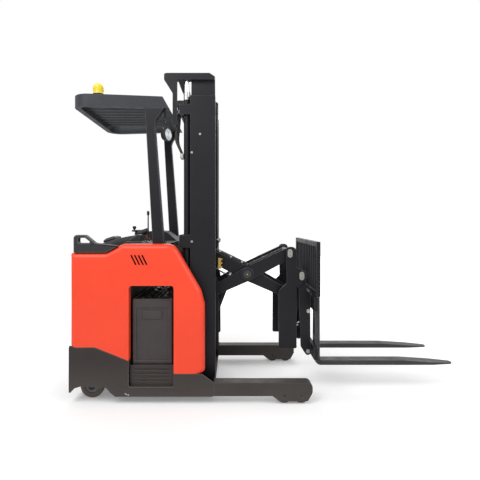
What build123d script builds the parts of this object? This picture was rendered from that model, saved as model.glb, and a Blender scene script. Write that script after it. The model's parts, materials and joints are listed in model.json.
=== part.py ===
"""Stand-up pantograph reach truck, modelled piece by piece in millimetres.

Frame: +X points forward along the forks, +Y to the left, +Z up. The origin is on the floor,
midway between the rear bumper and the fork tips. Paired pieces are drawn on the right-hand
side, where Y is negative, and mirrored. The truck stands with its reach mechanism extended.
"""

import os
from math import atan2, cos, degrees, hypot, radians, sin

from build123d import *

os.makedirs("parts", exist_ok=True)

# Overall sizes
REAR_X = -1490.0
HALF_WIDTH = 550.0
FORK_TIP_X = 1490.0

# Named clearances
RUN_GAP = 6.0  # between plates that pass each other
TRACK_GAP = 3.0  # roller to the flanges that guide it
PIN_GAP = 0.3  # turning pin to its bore, radial
FIT_GAP = 0.1  # fixed pin to its bore, radial
SEAT_GAP = 0.3  # soft or turning piece above the face that carries it

# Base frame
SKIRT = 15.0
SKIRT_BOTTOM = 85.0
DECK_BOTTOM = 55.0
DECK_PLATE = 20.0
FLOOR_TOP = 230.0
FLOOR_PLATE = 15.0
DRIVE_DECK_TOP = 415.0
DRIVE_DECK_PLATE = 20.0
BASE_FRONT_X = -415.0
SEAM = [(-1441.0, 420.0, 25.0), (-1294.0, 420.0, 25.0)]  # x, z, radius where paint meets base
SEAM_REAR_Z = 438.0
SEAM_BAY_Z = 320.0
SEAM_FRONT_Z = 225.0
SEAM_FRONT_X = -505.0
SKIRT_ARCH = [(-1215.0, 122.0, 30.0), (-1400.0, 131.0, 60.0), (-1463.0, 112.0, 20.0)]  # x, z, radius
SKIRT_FOOT_X = (-1475.0, -1183.0, -1146.0)  # arch's rear and front foot, then the deck's edge

# Battery bay and the wall on each side of it
BAY_X = (-1046.0, -714.0)
BAY_SILL_Z = 129.0
BAY_TOP_Z = 875.0
BULKHEAD = 15.0
HOOD_BOTTOM = 1000.0
HOOD_TOP = 1185.0
HOOD_WALL = 20.0
HOOD_FRONT_X = -760.0
BATTERY_GAP = 15.0
BATTERY_HEIGHT = 640.0
BATTERY_INSET = 60.0  # battery's end inside the truck's side
CELLS = (2, 6)  # across and along

# Painted side panels
PANEL = 70.0
PANEL_REAR_X = -1482.0
PANEL_FRONT_X = -485.0
PANEL_REAR_TOP = 1119.0
PANEL_CORNER = 42.0
RAMP_X = (-1215.0, -1094.0)
PANEL_NOSE = [(-712.0, 0.0, 95.0), (-512.0, 345.0, 120.0)]  # x, drop below the hood's top, radius
PANEL_NOSE_DROP = 450.0
CAP_X = (-1457.0, -1368.0, -1295.0, -1122.0)  # grab cap: rear, end of its top, knee, front tip
CAP_RISE = (133.0, 73.0, 52.0)  # above the panel: its top, its knee and its front tip
CAP_HOLE_X = (-1421.0, -1372.0, -1322.0)
CAP_HOLE_RISE = (73.0, 111.0)
VENT_COUNT = 4
VENT_FIRST_X = -1035.0
VENT_PITCH = 27.0
VENT_WIDTH = 13.0
VENT_LEAN = 37.0
VENT_DROP = (155.0, 81.0)  # below the hood's top
VENT_DEPTH = 30.0

# Operator's place and the drive pod beside it
POD_INNER_Y = 60.0
POD_WALL = 20.0
POD_TOP = [(-1475.0, 1150.0, 30.0), (-1300.0, 1205.0, 60.0), (-1200.0, 1225.0, 60.0)]  # x, z, r
CONSOLE_TOP = 1275.0
MAT = 8.0
LEAN_PAD_X = (-1420.0, -1130.0)
LEAN_PAD_Z = (820.0, 1020.0)
LEAN_PAD = 45.0
TILLER_AT = (-1140.0, HALF_WIDTH - 300.0)
TILLER_Z = 1262.0
TILLER_POST_R = 42.0

# Outriggers and load wheels
LEG = 110.0
LEG_TOP = 159.0
LEG_BOTTOM = 59.0
LEG_FRONT_X = 316.0
LOAD_WHEEL_R = 60.0
LOAD_WHEEL_WIDTH = 60.0
LOAD_WHEEL_X = (108.0, 234.0)
LOAD_WHEEL_SIDE_GAP = 5.0
LOAD_WHEEL_POCKET_GAP = 10.0
LOAD_AXLE_R = 12.5

# Caster and drive unit
CASTER_AXIS = (-1325.0, 145.0 - HALF_WIDTH)
CASTER_TRAIL = 30.0
CASTER_R = 90.0
CASTER_WIDTH = 50.0
CASTER_AXLE_R = 12.0
CASTER_PLATE_R = 62.0
CASTER_CHEEK = 12.0
DRIVE_AXIS = (-1250.0, HALF_WIDTH - 265.0)
DRIVE_R = 150.0
DRIVE_WIDTH = 110.0
DRIVE_AXLE_R = 28.0
TURNTABLE_R = 110.0
SPINDLE_R = 60.0
MOTOR_R = 105.0
MOTOR_HEIGHT = 300.0

# Overhead guard
GUARD_Z = (2217.0, 2306.0)
GUARD_REAR_X = -1475.0
GUARD_FRONT_X = (-762.0, -812.0)  # at the bottom and at the top of the sloped front rail
GUARD_HALF = (HALF_WIDTH - 25.0, HALF_WIDTH - 106.0)  # at the rear and at the front
GUARD_RAIL = 45.0
GUARD_CORNER = 120.0
GUARD_BARS = 8
GUARD_BAR = (20.0, 45.0)
POST_Y = (HALF_WIDTH - 138.0, HALF_WIDTH - 82.0)
BEACON_X = -1305.0
BEACON_INSET = 76.0  # inside the guard's edge
BEACON_R = 48.0
LAMP_AT = (-778.0, -POST_Y[0] - 8.0, 2020.0)
LAMP_R = 52.0
LAMP_TURN = 25.0  # degrees outward of straight ahead

# Mast stages, nested from the outside in: x range, web's half-widths, flange tip's half-width, z range
MAST_SIDE_GAP = 72.0  # between the side panel and the outer stage
STAGE_GAP = 24.0  # between the webs of nested stages
WEB = 12.0
OUTER_HALF = HALF_WIDTH - PANEL - MAST_SIDE_GAP
OUTER_X, OUTER_WEB, OUTER_Z = (-606.0, -410.0), (OUTER_HALF - WEB - 2, OUTER_HALF), (75.0, 2328.0)
OUTER_TIP = OUTER_WEB[0] - 18.0
MIDDLE_HALF = OUTER_WEB[0] - STAGE_GAP
MIDDLE_X, MIDDLE_WEB, MIDDLE_Z = (-600.0, -414.0), (MIDDLE_HALF - WEB, MIDDLE_HALF), (145.0, 2450.0)
MIDDLE_TIP = MIDDLE_WEB[0] - 18.0
INNER_HALF = MIDDLE_WEB[0] - STAGE_GAP
INNER_X, INNER_WEB, INNER_Z = (-582.0, -416.0), (INNER_HALF - WEB, INNER_HALF), (200.0, 2440.0)
INNER_TIP = INNER_WEB[0] - 38.0
FLANGE = 18.0
OUTER_TIE_X = (-690.0, -672.0)
OUTER_TIES = [(75.0, 260.0), (1150.0, 1250.0), (2180.0, 2260.0)]  # z from, z to
MIDDLE_TIES = [(150.0, 330.0), (1000.0, 1100.0), (1700.0, 1780.0)]
INNER_TIES = [(205.0, 345.0), (1250.0, 1350.0), (2200.0, 2320.0)]
STAGE_TIE = 12.0
STAGE_ROLLER_Z = 290.0
STAGE_ROLLER_GAP = 4.0  # roller to the web that it runs beside
HEAD_Z = (2450.0, 2502.0)
HEAD_REAR_X = -808.0
HEAD_HALF = (MIDDLE_TIP, OUTER_HALF - 4.0)
HEAD_TIE_X = (-704.0, -656.0)
LIFT_AT = (-634.0, MIDDLE_HALF - 7.0)
LIFT_FOOT = 300.0
LIFT_BARREL_R = 25.0
LIFT_ROD_R = 18.0
LIFT_TOP_Z = 2357.0
LIFT_ROD_FOOT_Z = 540.0
GLAND_R = 27.0
GLAND = 60.0

# Lift chains and their sheaves
CHAIN_WIDTH = 30.0
CHAIN = 10.0
SHEAVE_AT = (-590.0, 2385.0)
SHEAVE_R = 40.0
CHAIN_ANCHOR_Z = 730.0

# Scissor linkage: fixed top pins, sliding lower rollers, middle pivot
REAR_PIN = (-499.0, 1097.0)
FRONT_PIN = (183.0, 1097.0)
REAR_ROLLER = (-499.0, 755.0)
FRONT_ROLLER = (183.0, 755.0)
MIDDLE_PIN = ((REAR_PIN[0] + FRONT_PIN[0]) / 2, (REAR_PIN[1] + FRONT_ROLLER[1]) / 2)
ARM_LENGTH = hypot(FRONT_PIN[0] - REAR_PIN[0], REAR_PIN[1] - REAR_ROLLER[1])
ARM_ANGLE = degrees(atan2(REAR_PIN[1] - REAR_ROLLER[1], FRONT_PIN[0] - REAR_PIN[0]))
ARM_END_R = 46.0
ARM_MIDDLE_R = 57.0
ARM_ROLLER_END_R = 36.0
FRAME_PLATE = 15.0
ARM_PLATE = 20.0
ARM_GAP = 8.0  # between the inner and the outer arm
FRAME_Y = (INNER_TIP - RUN_GAP - 1 - FRAME_PLATE, INNER_TIP - RUN_GAP - 1)
RAIL_Y = (FRAME_Y[0] - 24.0, FRAME_Y[0])
ROLLER_Y = (FRAME_Y[0] - 28.0, FRAME_Y[0] - RUN_GAP)
OUTER_ARM_Y = (ROLLER_Y[0] - RUN_GAP - ARM_PLATE, ROLLER_Y[0] - RUN_GAP)
INNER_ARM_Y = (OUTER_ARM_Y[0] - ARM_GAP - ARM_PLATE, OUTER_ARM_Y[0] - ARM_GAP)
CHAIN_Y = ((INNER_ARM_Y[0] - CHAIN_WIDTH) / 2, (INNER_ARM_Y[0] + CHAIN_WIDTH) / 2)
ARM_BOSS_Y = RAIL_Y[0]
ARM_TUBE_R = 28.0
ARM_TUBE_U = 430.0  # along the inner arm from its rear pin
ARM_PIN_R = 20.0
MIDDLE_PIN_R = 25.0
ROLLER_R = 30.0
RAIL = 12.0
RAIL_TOP = 810.0
SUPPORT_X = (-562.0, -440.0)
SUPPORT_Z = (330.0, 1205.0)
SUPPORT_TOE = (-390.0, 880.0, 960.0)  # x of the wider foot, then the z where it narrows
SUPPORT_TIE = 8.0
SUPPORT_TIES = [(335.0, 445.0), (680.0, 760.0), (1105.0, 1200.0)]  # z from, z to
MAST_ROLLER_Z = (420.0, 1130.0)
HOSE_ROLLER = (-408.0, 1187.0)
FRONT_X = (130.0, 236.0)
FRONT_Z = (335.0, 1150.0)
FRONT_HEEL = (92.0, 800.0, 860.0)  # x of the wider foot, then the z where it narrows
FRONT_NECK_X = 158.0
FRONT_TIES = [(340.0, 525.0), (845.0, 935.0)]

# Fork carriage, forks and load backrest
TILT_PIN = (278.0, 916.0)
TILT_PIN_R = 18.0
CARRIAGE_Y = (FRAME_Y[0] - 24.0, FRAME_Y[0] - RUN_GAP)
BAR_X = (350.0, 380.0)
BAR_HALF = 420.0
BARS = [(286.0, 380.0), (660.0, 766.0)]  # z from, z to
FORK_Y = 240.0
FORK_WIDTH = 100.0
FORK_THICK = 40.0
FORK_TIP = 14.0
FORK_TAPER_X = 1080.0
FORK_BOTTOM = 206.0
REST_HALF = 530.0
REST_Z = (790.0, 1200.0)
REST_X = (346.0, 376.0)
REST_BAR = 14.0
REST_BARS = 11
REST_FRAME = 36.0

# Reach and tilt cylinders
REACH_FOOT = (-500.0, 400.0)
REACH_EYE_U = 250.0  # along the inner arm from its rear pin
REACH_BARREL_R = 32.0
REACH_ROD_R = 16.0
REACH_STROKE = 165.0
CYLINDER_EYE_R = 24.0
CYLINDER_EYE_HALF = 18.0
CYLINDER_PIN_R = 12.0
LUG_Y = (24.0, 34.0)
ARM_LUG_Y = (REACH_BARREL_R + RUN_GAP + 2.0, REACH_BARREL_R + RUN_GAP + 12.0)
TILT_CYLINDER_Z = 470.0
TILT_BARREL_R = 28.0
TILT_ROD_R = 14.0
TILT_EYE_X = 306.0


def middle(span):
    """Return the middle of a (low, high) range."""
    return (span[0] + span[1]) / 2


def right(span):
    """Return the Y range on the right-hand side for a range of half-widths."""
    return (-span[1], -span[0])


def block(x, y, z, mode=Mode.ADD):
    """Add a box to the open part from its ranges of x, y and z."""
    with Locations((middle(x), middle(y), middle(z))):
        Box(x[1] - x[0], y[1] - y[0], z[1] - z[0], mode=mode)


def bar_y(at, radius, y, mode=Mode.ADD):
    """Add a round bar along Y through the point (x, z)."""
    with Locations(Location((at[0], middle(y), at[1]), (90, 0, 0))):
        Cylinder(radius, y[1] - y[0], mode=mode)


def bar_z(at, radius, z, mode=Mode.ADD):
    """Add a round bar along Z through the point (x, y)."""
    with Locations((at[0], at[1], middle(z))):
        Cylinder(radius, z[1] - z[0], mode=mode)


def bar_x(at, radius, x, mode=Mode.ADD):
    """Add a round bar along X through the point (y, z)."""
    with Locations(Location((middle(x), at[0], at[1]), (0, 90, 0))):
        Cylinder(radius, x[1] - x[0], mode=mode)


def plate(outline, y, mode=Mode.ADD):
    """Add a plate: outline rows are x, z and corner radius, and y is its range."""
    with BuildSketch(Plane.XZ.offset(-y[0])) as face:
        with BuildLine():
            FilletPolyline(*[row[:2] for row in outline], radius=[row[2] for row in outline], close=True)
        make_face()
    extrude(face.sketch, amount=y[0] - y[1], mode=mode)


def slab(outline, z, mode=Mode.ADD):
    """Add a slab: outline rows are x, y and corner radius, and z is its range."""
    with BuildSketch(Plane.XY.offset(z[0])) as face:
        with BuildLine():
            FilletPolyline(*[row[:2] for row in outline], radius=[row[2] for row in outline], close=True)
        make_face()
    extrude(face.sketch, amount=z[1] - z[0], mode=mode)


def link(circles, y, mode=Mode.ADD):
    """Add a link plate around circles given as ((x, z), radius), and y is its range."""
    with BuildSketch(Plane.XZ.offset(-y[0])) as face:
        for at, radius in circles:
            with Locations(at):
                Circle(radius)
        make_hull()
    extrude(face.sketch, amount=y[0] - y[1], mode=mode)


def channel(x, web, tip, z):
    """Add the right-hand mast channel of one stage, open towards the middle."""
    block(x, right(web), z)
    for flange in ((x[0], x[0] + FLANGE), (x[1] - FLANGE, x[1])):
        block(flange, right((tip, web[0])), z)


def track_roller(x, z, y):
    """Add a right-hand roller on the plate face y[0], between the flanges of the stage around it."""
    radius = (x[1] - x[0]) / 2 - FLANGE - PIN_GAP
    bar_y((middle(x), z), radius, right((y[0] + STAGE_ROLLER_GAP, y[1] - STAGE_ROLLER_GAP)))
    bar_y((middle(x), z), ARM_PIN_R, right((y[0], y[0] + STAGE_ROLLER_GAP)))


def save(piece, name):
    """Label a finished piece and write its STEP file."""
    piece.label = name
    export_step(piece, f"parts/{name}.step")


# Base frame: skirts, floor, drive deck, battery tray and mast deck
SIDE_OUTLINE = [
    (REAR_X, SKIRT_BOTTOM, 0),
    (REAR_X, SEAM_REAR_Z, 12),
    *SEAM,
    (BAY_X[0], SEAM_BAY_Z, 0),
    (BAY_X[0], BAY_SILL_Z, 12),
    (BAY_X[1], BAY_SILL_Z, 12),
    (BAY_X[1], SEAM_FRONT_Z, 0),
    (SEAM_FRONT_X, SEAM_FRONT_Z, 40),
    (BASE_FRONT_X, LEG_TOP, 0),
    (BASE_FRONT_X, LEG_BOTTOM, 0),
    (BASE_FRONT_X - 25, DECK_BOTTOM, 0),
    (SKIRT_FOOT_X[2], DECK_BOTTOM, 0),
    (SKIRT_FOOT_X[1], SKIRT_BOTTOM, 0),
    *SKIRT_ARCH,
    (SKIRT_FOOT_X[0], SKIRT_BOTTOM, 0),
]
SKIRT_IN = HALF_WIDTH - SKIRT
INSIDE = HALF_WIDTH - PANEL
TRAY_X = (BAY_X[0] - BULKHEAD, BAY_X[1] + BULKHEAD)
WELL_Y = (POD_INNER_Y - SKIRT, POD_INNER_Y)

with BuildPart() as base:
    plate(SIDE_OUTLINE, (-HALF_WIDTH, -SKIRT_IN))
    mirror(about=Plane.XZ)
    block((REAR_X, REAR_X + SKIRT), (-SKIRT_IN, SKIRT_IN), (SKIRT_BOTTOM, FLOOR_TOP))
    block((REAR_X, REAR_X + SKIRT), (WELL_Y[0], SKIRT_IN), (FLOOR_TOP, DRIVE_DECK_TOP))
    block((REAR_X + SKIRT, TRAY_X[0]), (-SKIRT_IN, POD_INNER_Y), (FLOOR_TOP - FLOOR_PLATE, FLOOR_TOP))
    block((REAR_X + SKIRT, TRAY_X[0]), WELL_Y, (SKIRT_BOTTOM, DRIVE_DECK_TOP))
    DRIVE_DECK_Z = (DRIVE_DECK_TOP - DRIVE_DECK_PLATE, DRIVE_DECK_TOP)
    block((REAR_X + SKIRT, TRAY_X[0]), (POD_INNER_Y, INSIDE), DRIVE_DECK_Z)
    block(TRAY_X, (-SKIRT_IN, SKIRT_IN), (BAY_SILL_Z - DECK_PLATE, BAY_SILL_Z))
    for wall in ((TRAY_X[0], BAY_X[0]), (BAY_X[1], TRAY_X[1])):
        block(wall, (-SKIRT_IN, SKIRT_IN), (DECK_BOTTOM, BAY_SILL_Z))
    block((TRAY_X[0], BAY_X[0]), (-INSIDE, INSIDE), (BAY_SILL_Z, DRIVE_DECK_TOP))
    block((BAY_X[1], BASE_FRONT_X), (-SKIRT_IN, SKIRT_IN), (DECK_BOTTOM, DECK_BOTTOM + DECK_PLATE))
    bar_z(DRIVE_AXIS, SPINDLE_R + PIN_GAP, DRIVE_DECK_Z, Mode.SUBTRACT)
    bar_z(CASTER_AXIS, CASTER_AXLE_R + PIN_GAP, (FLOOR_TOP - FLOOR_PLATE, FLOOR_TOP - 2), Mode.SUBTRACT)
save(base.part, "base_frame")

# Outriggers: a box beam with a pocket for the tandem load wheels
LEG_OUTLINE = [
    (BASE_FRONT_X, LEG_TOP, 0),
    (LEG_FRONT_X, LEG_TOP, 40),
    (LEG_FRONT_X, 85, 30),
    (280, 20, 20),
    (68, 20, 30),
    (20, LEG_BOTTOM, 20),
    (BASE_FRONT_X, LEG_BOTTOM, 0),
]
LEG_Y = (HALF_WIDTH - LEG, HALF_WIDTH)
LOAD_WHEEL_Y = (middle(LEG_Y) - LOAD_WHEEL_WIDTH / 2, middle(LEG_Y) + LOAD_WHEEL_WIDTH / 2)
POCKET_X = (
    LOAD_WHEEL_X[0] - LOAD_WHEEL_R - LOAD_WHEEL_POCKET_GAP,
    LOAD_WHEEL_X[1] + LOAD_WHEEL_R + LOAD_WHEEL_POCKET_GAP,
)
POCKET_Y = (LOAD_WHEEL_Y[0] - LOAD_WHEEL_SIDE_GAP, LOAD_WHEEL_Y[1] + LOAD_WHEEL_SIDE_GAP)
POCKET_TOP = 2 * LOAD_WHEEL_R + LOAD_WHEEL_POCKET_GAP

with BuildPart() as leg_right:
    plate(LEG_OUTLINE, right(LEG_Y))
    fillet(leg_right.edges().filter_by(Axis.X).group_by(Axis.Z)[-1], 8)
    block(POCKET_X, right(POCKET_Y), (0, POCKET_TOP), Mode.SUBTRACT)
    for wheel_x in LOAD_WHEEL_X:
        bar_y((wheel_x, LOAD_WHEEL_R), LOAD_AXLE_R + FIT_GAP, right(LEG_Y), Mode.SUBTRACT)
save(leg_right.part, "leg_right")

with BuildPart() as leg_left:
    add(leg_right.part)
    mirror(about=Plane.XZ, mode=Mode.REPLACE)
save(leg_left.part, "leg_left")

with BuildPart() as load_axles:
    for wheel_x in LOAD_WHEEL_X:
        bar_y((wheel_x, LOAD_WHEEL_R), LOAD_AXLE_R, right((LEG_Y[0] + 2, LEG_Y[1] - 2)))
    mirror(about=Plane.XZ)
save(load_axles.part, "load_wheel_axles")

LOAD_WHEELS = [("right_rear", 0, 1), ("right_front", 1, 1), ("left_rear", 0, -1), ("left_front", 1, -1)]
for place, index, side in LOAD_WHEELS:
    WHEEL_AT = (LOAD_WHEEL_X[index], LOAD_WHEEL_R)
    FACE_Y = sorted((-side * LOAD_WHEEL_Y[0], -side * LOAD_WHEEL_Y[1]))
    with BuildPart() as load_wheel:
        bar_y(WHEEL_AT, LOAD_WHEEL_R, FACE_Y)
        fillet(load_wheel.edges().filter_by(GeomType.CIRCLE), 5)
        for face in ((FACE_Y[0], FACE_Y[0] + 5), (FACE_Y[1] - 5, FACE_Y[1])):
            bar_y(WHEEL_AT, LOAD_WHEEL_R * 0.62, face, Mode.SUBTRACT)
            bar_y(WHEEL_AT, LOAD_AXLE_R + 8, face)
        bar_y(WHEEL_AT, LOAD_AXLE_R + PIN_GAP, FACE_Y, Mode.SUBTRACT)
    save(load_wheel.part, f"load_wheel_{place}")

# Caster: a swivelling fork with one trailing wheel
CASTER_WHEEL = (CASTER_AXIS[0] - CASTER_TRAIL, CASTER_R)
CASTER_Y = (CASTER_AXIS[1] - CASTER_WIDTH / 2, CASTER_AXIS[1] + CASTER_WIDTH / 2)
CASTER_TOP = FLOOR_TOP - FLOOR_PLATE - SEAT_GAP
CHEEK_IN = CASTER_WIDTH / 2 + TRACK_GAP

with BuildPart() as caster_fork:
    bar_z(CASTER_AXIS, CASTER_PLATE_R, (CASTER_TOP - 14, CASTER_TOP))
    bar_z(CASTER_AXIS, CASTER_AXLE_R, (CASTER_TOP, FLOOR_TOP - 4))
    for low in (CASTER_AXIS[1] - CHEEK_IN - CASTER_CHEEK, CASTER_AXIS[1] + CHEEK_IN):
        cheek = (low, low + CASTER_CHEEK)
        link([(CASTER_WHEEL, 24), ((CASTER_AXIS[0], CASTER_TOP - 40), 38)], cheek)
    bar_y(CASTER_WHEEL, CASTER_AXLE_R, (CASTER_Y[0] - 20, CASTER_Y[1] + 20))
save(caster_fork.part, "caster_fork")

with BuildPart() as caster_wheel:
    bar_y(CASTER_WHEEL, CASTER_R, CASTER_Y)
    fillet(caster_wheel.edges().filter_by(GeomType.CIRCLE), 10)
    for face in ((CASTER_Y[0], CASTER_Y[0] + 6), (CASTER_Y[1] - 6, CASTER_Y[1])):
        bar_y(CASTER_WHEEL, CASTER_R * 0.66, face, Mode.SUBTRACT)
        bar_y(CASTER_WHEEL, CASTER_AXLE_R + 10, face)
    bar_y(CASTER_WHEEL, CASTER_AXLE_R + PIN_GAP, CASTER_Y, Mode.SUBTRACT)
save(caster_wheel.part, "caster_wheel")

# Drive unit: a turntable with a gear case down one side of the drive wheel
DRIVE_WHEEL = (DRIVE_AXIS[0], DRIVE_R)
DRIVE_Y = (DRIVE_AXIS[1] - DRIVE_WIDTH / 2, DRIVE_AXIS[1] + DRIVE_WIDTH / 2)
GEAR_Y = (DRIVE_Y[1] + RUN_GAP, DRIVE_Y[1] + RUN_GAP + 52)
TURNTABLE_TOP = DRIVE_DECK_TOP - DRIVE_DECK_PLATE - SEAT_GAP

with BuildPart() as drive_unit:
    bar_z(DRIVE_AXIS, TURNTABLE_R + 12, (TURNTABLE_TOP - 45, TURNTABLE_TOP))
    bar_z(DRIVE_AXIS, SPINDLE_R, (TURNTABLE_TOP, DRIVE_DECK_TOP - 2))
    link([(DRIVE_WHEEL, 62), ((DRIVE_AXIS[0], TURNTABLE_TOP - 70), 70)], GEAR_Y)
    bar_y(DRIVE_WHEEL, DRIVE_AXLE_R, (DRIVE_Y[0] + 10, GEAR_Y[0]))
save(drive_unit.part, "drive_unit")

with BuildPart() as drive_wheel:
    bar_y(DRIVE_WHEEL, DRIVE_R, DRIVE_Y)
    fillet(drive_wheel.edges().filter_by(GeomType.CIRCLE), 14)
    for face in ((DRIVE_Y[0], DRIVE_Y[0] + 20), (DRIVE_Y[1] - 12, DRIVE_Y[1])):
        bar_y(DRIVE_WHEEL, DRIVE_R * 0.7, face, Mode.SUBTRACT)
    bar_y(DRIVE_WHEEL, DRIVE_AXLE_R + 22, (DRIVE_Y[0] + 6, DRIVE_Y[0] + 20))
    bar_y(DRIVE_WHEEL, DRIVE_AXLE_R + PIN_GAP, (DRIVE_Y[0] + 9, DRIVE_Y[1]), Mode.SUBTRACT)
save(drive_wheel.part, "drive_wheel")

with BuildPart() as drive_motor:
    bar_z(DRIVE_AXIS, MOTOR_R, (DRIVE_DECK_TOP, DRIVE_DECK_TOP + MOTOR_HEIGHT))
    fillet(drive_motor.edges().filter_by(GeomType.CIRCLE).group_by(Axis.Z)[-1], 25)
save(drive_motor.part, "drive_motor")

# Painted side panels, with the battery bay's arch and the slanted vents
VENT_Z = (HOOD_TOP - VENT_DROP[0], HOOD_TOP - VENT_DROP[1])
PANEL_OUTLINE = [
    (PANEL_REAR_X, SEAM_REAR_Z, 0),
    (PANEL_REAR_X, PANEL_REAR_TOP, 14),
    (RAMP_X[0], PANEL_REAR_TOP, 50),
    (RAMP_X[1], HOOD_TOP, 70),
    *[(x, HOOD_TOP - drop, radius) for x, drop, radius in PANEL_NOSE],
    (PANEL_FRONT_X, HOOD_TOP - PANEL_NOSE_DROP, 60),
    (PANEL_FRONT_X, SEAM_FRONT_Z + 15, 30),
    (SEAM_FRONT_X, SEAM_FRONT_Z, 0),
    (BAY_X[1], SEAM_FRONT_Z, 0),
    (BAY_X[1], BAY_TOP_Z, 22),
    (BAY_X[0], BAY_TOP_Z, 22),
    (BAY_X[0], SEAM_BAY_Z, 0),
    SEAM[1],
    SEAM[0],
]
PANEL_Y = (HALF_WIDTH - PANEL, HALF_WIDTH)

with BuildPart() as panel_right:
    plate(PANEL_OUTLINE, right(PANEL_Y))
    rear_edge = panel_right.edges().filter_by(Axis.Z).group_by(Axis.X)[0].sort_by(Axis.Y)[0]
    fillet(rear_edge, PANEL_CORNER)
    for index in range(VENT_COUNT):
        slot_x = VENT_FIRST_X + index * VENT_PITCH
        slot = [
            (slot_x, VENT_Z[1], 4),
            (slot_x + VENT_WIDTH, VENT_Z[1], 4),
            (slot_x + VENT_WIDTH + VENT_LEAN, VENT_Z[0], 4),
            (slot_x + VENT_LEAN, VENT_Z[0], 4),
        ]
        plate(slot, (-HALF_WIDTH, -HALF_WIDTH + VENT_DEPTH), Mode.SUBTRACT)
save(panel_right.part, "side_panel_right")

with BuildPart() as panel_left:
    add(panel_right.part)
    mirror(about=Plane.XZ, mode=Mode.REPLACE)
save(panel_left.part, "side_panel_left")

# Bulkheads of the battery bay, the battery and its louvred gates
with BuildPart() as bulkheads:
    block((TRAY_X[0], BAY_X[0]), (-INSIDE, INSIDE), (DRIVE_DECK_TOP, HOOD_BOTTOM))
    block((BAY_X[1], TRAY_X[1]), (-INSIDE, INSIDE), (BAY_SILL_Z, HOOD_BOTTOM))
save(bulkheads.part, "bay_bulkheads")

BATTERY_X = (BAY_X[0] + BATTERY_GAP, BAY_X[1] - BATTERY_GAP)
BATTERY_HALF_WIDTH = HALF_WIDTH - BATTERY_INSET
BATTERY_Y = (-BATTERY_HALF_WIDTH, BATTERY_HALF_WIDTH)
CELL_PITCH = ((BATTERY_X[1] - BATTERY_X[0] - 38) / CELLS[0], 2 * (BATTERY_HALF_WIDTH - 40) / CELLS[1])
BATTERY_Z = (BAY_SILL_Z, BAY_SILL_Z + BATTERY_HEIGHT)
with BuildPart() as battery:
    block(BATTERY_X, BATTERY_Y, BATTERY_Z)
    fillet(battery.edges().filter_by(Axis.Z), 8)
    block(
        (BATTERY_X[0] + 14, BATTERY_X[1] - 14),
        (BATTERY_Y[0] + 14, BATTERY_Y[1] - 14),
        (BATTERY_Z[1] - 30, BATTERY_Z[1]),
        Mode.SUBTRACT,
    )
    with Locations((middle(BATTERY_X), 0, BATTERY_Z[1] - 30 + 9)):
        with GridLocations(*CELL_PITCH, *CELLS):
            Box(CELL_PITCH[0] - 14, CELL_PITCH[1] - 14, 18)
    for corner_x in BATTERY_X:
        for corner_y in (BATTERY_Y[0] + 190, BATTERY_Y[1] - 190):
            inward = 4 if corner_x == BATTERY_X[0] else -4
            with Locations((corner_x + inward, corner_y, BATTERY_Z[1] + 12)):
                Box(8, 60, 24)
save(battery.part, "battery")

GATE_X = (BAY_X[0] + 4, BAY_X[1] - 4)
GATE_Z = (BAY_SILL_Z, BAY_SILL_Z + 150)
GATE_Y = (BATTERY_HALF_WIDTH + 14, BATTERY_HALF_WIDTH + 26)
with BuildPart() as gates:
    block(GATE_X, right(GATE_Y), GATE_Z)
    for louvre in range(4):
        slot_z = GATE_Z[0] + 30 + 28 * louvre
        block((GATE_X[0] + 30, GATE_X[1] - 30), right(GATE_Y), (slot_z, slot_z + 13), Mode.SUBTRACT)
    mirror(about=Plane.XZ)
save(gates.part, "battery_gates")

# Hood over the battery bay with the operator's console, higher on the drive-pod side
HOOD_X = (TRAY_X[0], HOOD_FRONT_X)
CONSOLE_OUTLINE = [
    (HOOD_X[0], HOOD_TOP, 0),
    (HOOD_X[0], CONSOLE_TOP - 12, 30),
    (HOOD_X[0] + 101, CONSOLE_TOP, 120),
    (HOOD_X[0] + 201, CONSOLE_TOP - 8, 60),
    (HOOD_X[1] - 10, HOOD_TOP, 0),
]
DASH_Y = (80 - INSIDE, POD_INNER_Y - 40)
with BuildPart() as console:
    block(HOOD_X, (-INSIDE, INSIDE), (HOOD_BOTTOM, HOOD_TOP))
    plate(CONSOLE_OUTLINE, (POD_INNER_Y + 10, INSIDE - 90))
    block(
        (HOOD_X[0] + HOOD_WALL, HOOD_X[1] - HOOD_WALL),
        (-INSIDE + HOOD_WALL, INSIDE - HOOD_WALL),
        (HOOD_BOTTOM, HOOD_TOP - HOOD_WALL),
        Mode.SUBTRACT,
    )
    DASH = [
        (HOOD_X[0] + HOOD_WALL / 2, HOOD_TOP - 125, 0),
        (HOOD_X[0], HOOD_TOP - 125, 0),
        (HOOD_X[0] - 70, HOOD_TOP - 35, 18),
        (HOOD_X[0] - 50, HOOD_TOP + 11, 16),
        (HOOD_X[0] + 76, HOOD_TOP + 15, 10),
        (HOOD_X[0] + 101, HOOD_TOP, 0),
        (HOOD_X[0] + 101, HOOD_TOP - HOOD_WALL / 2, 0),
        (HOOD_X[0] + HOOD_WALL / 2, HOOD_TOP - HOOD_WALL / 2, 0),
    ]
    plate(DASH, DASH_Y)
save(console.part, "console")

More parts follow.
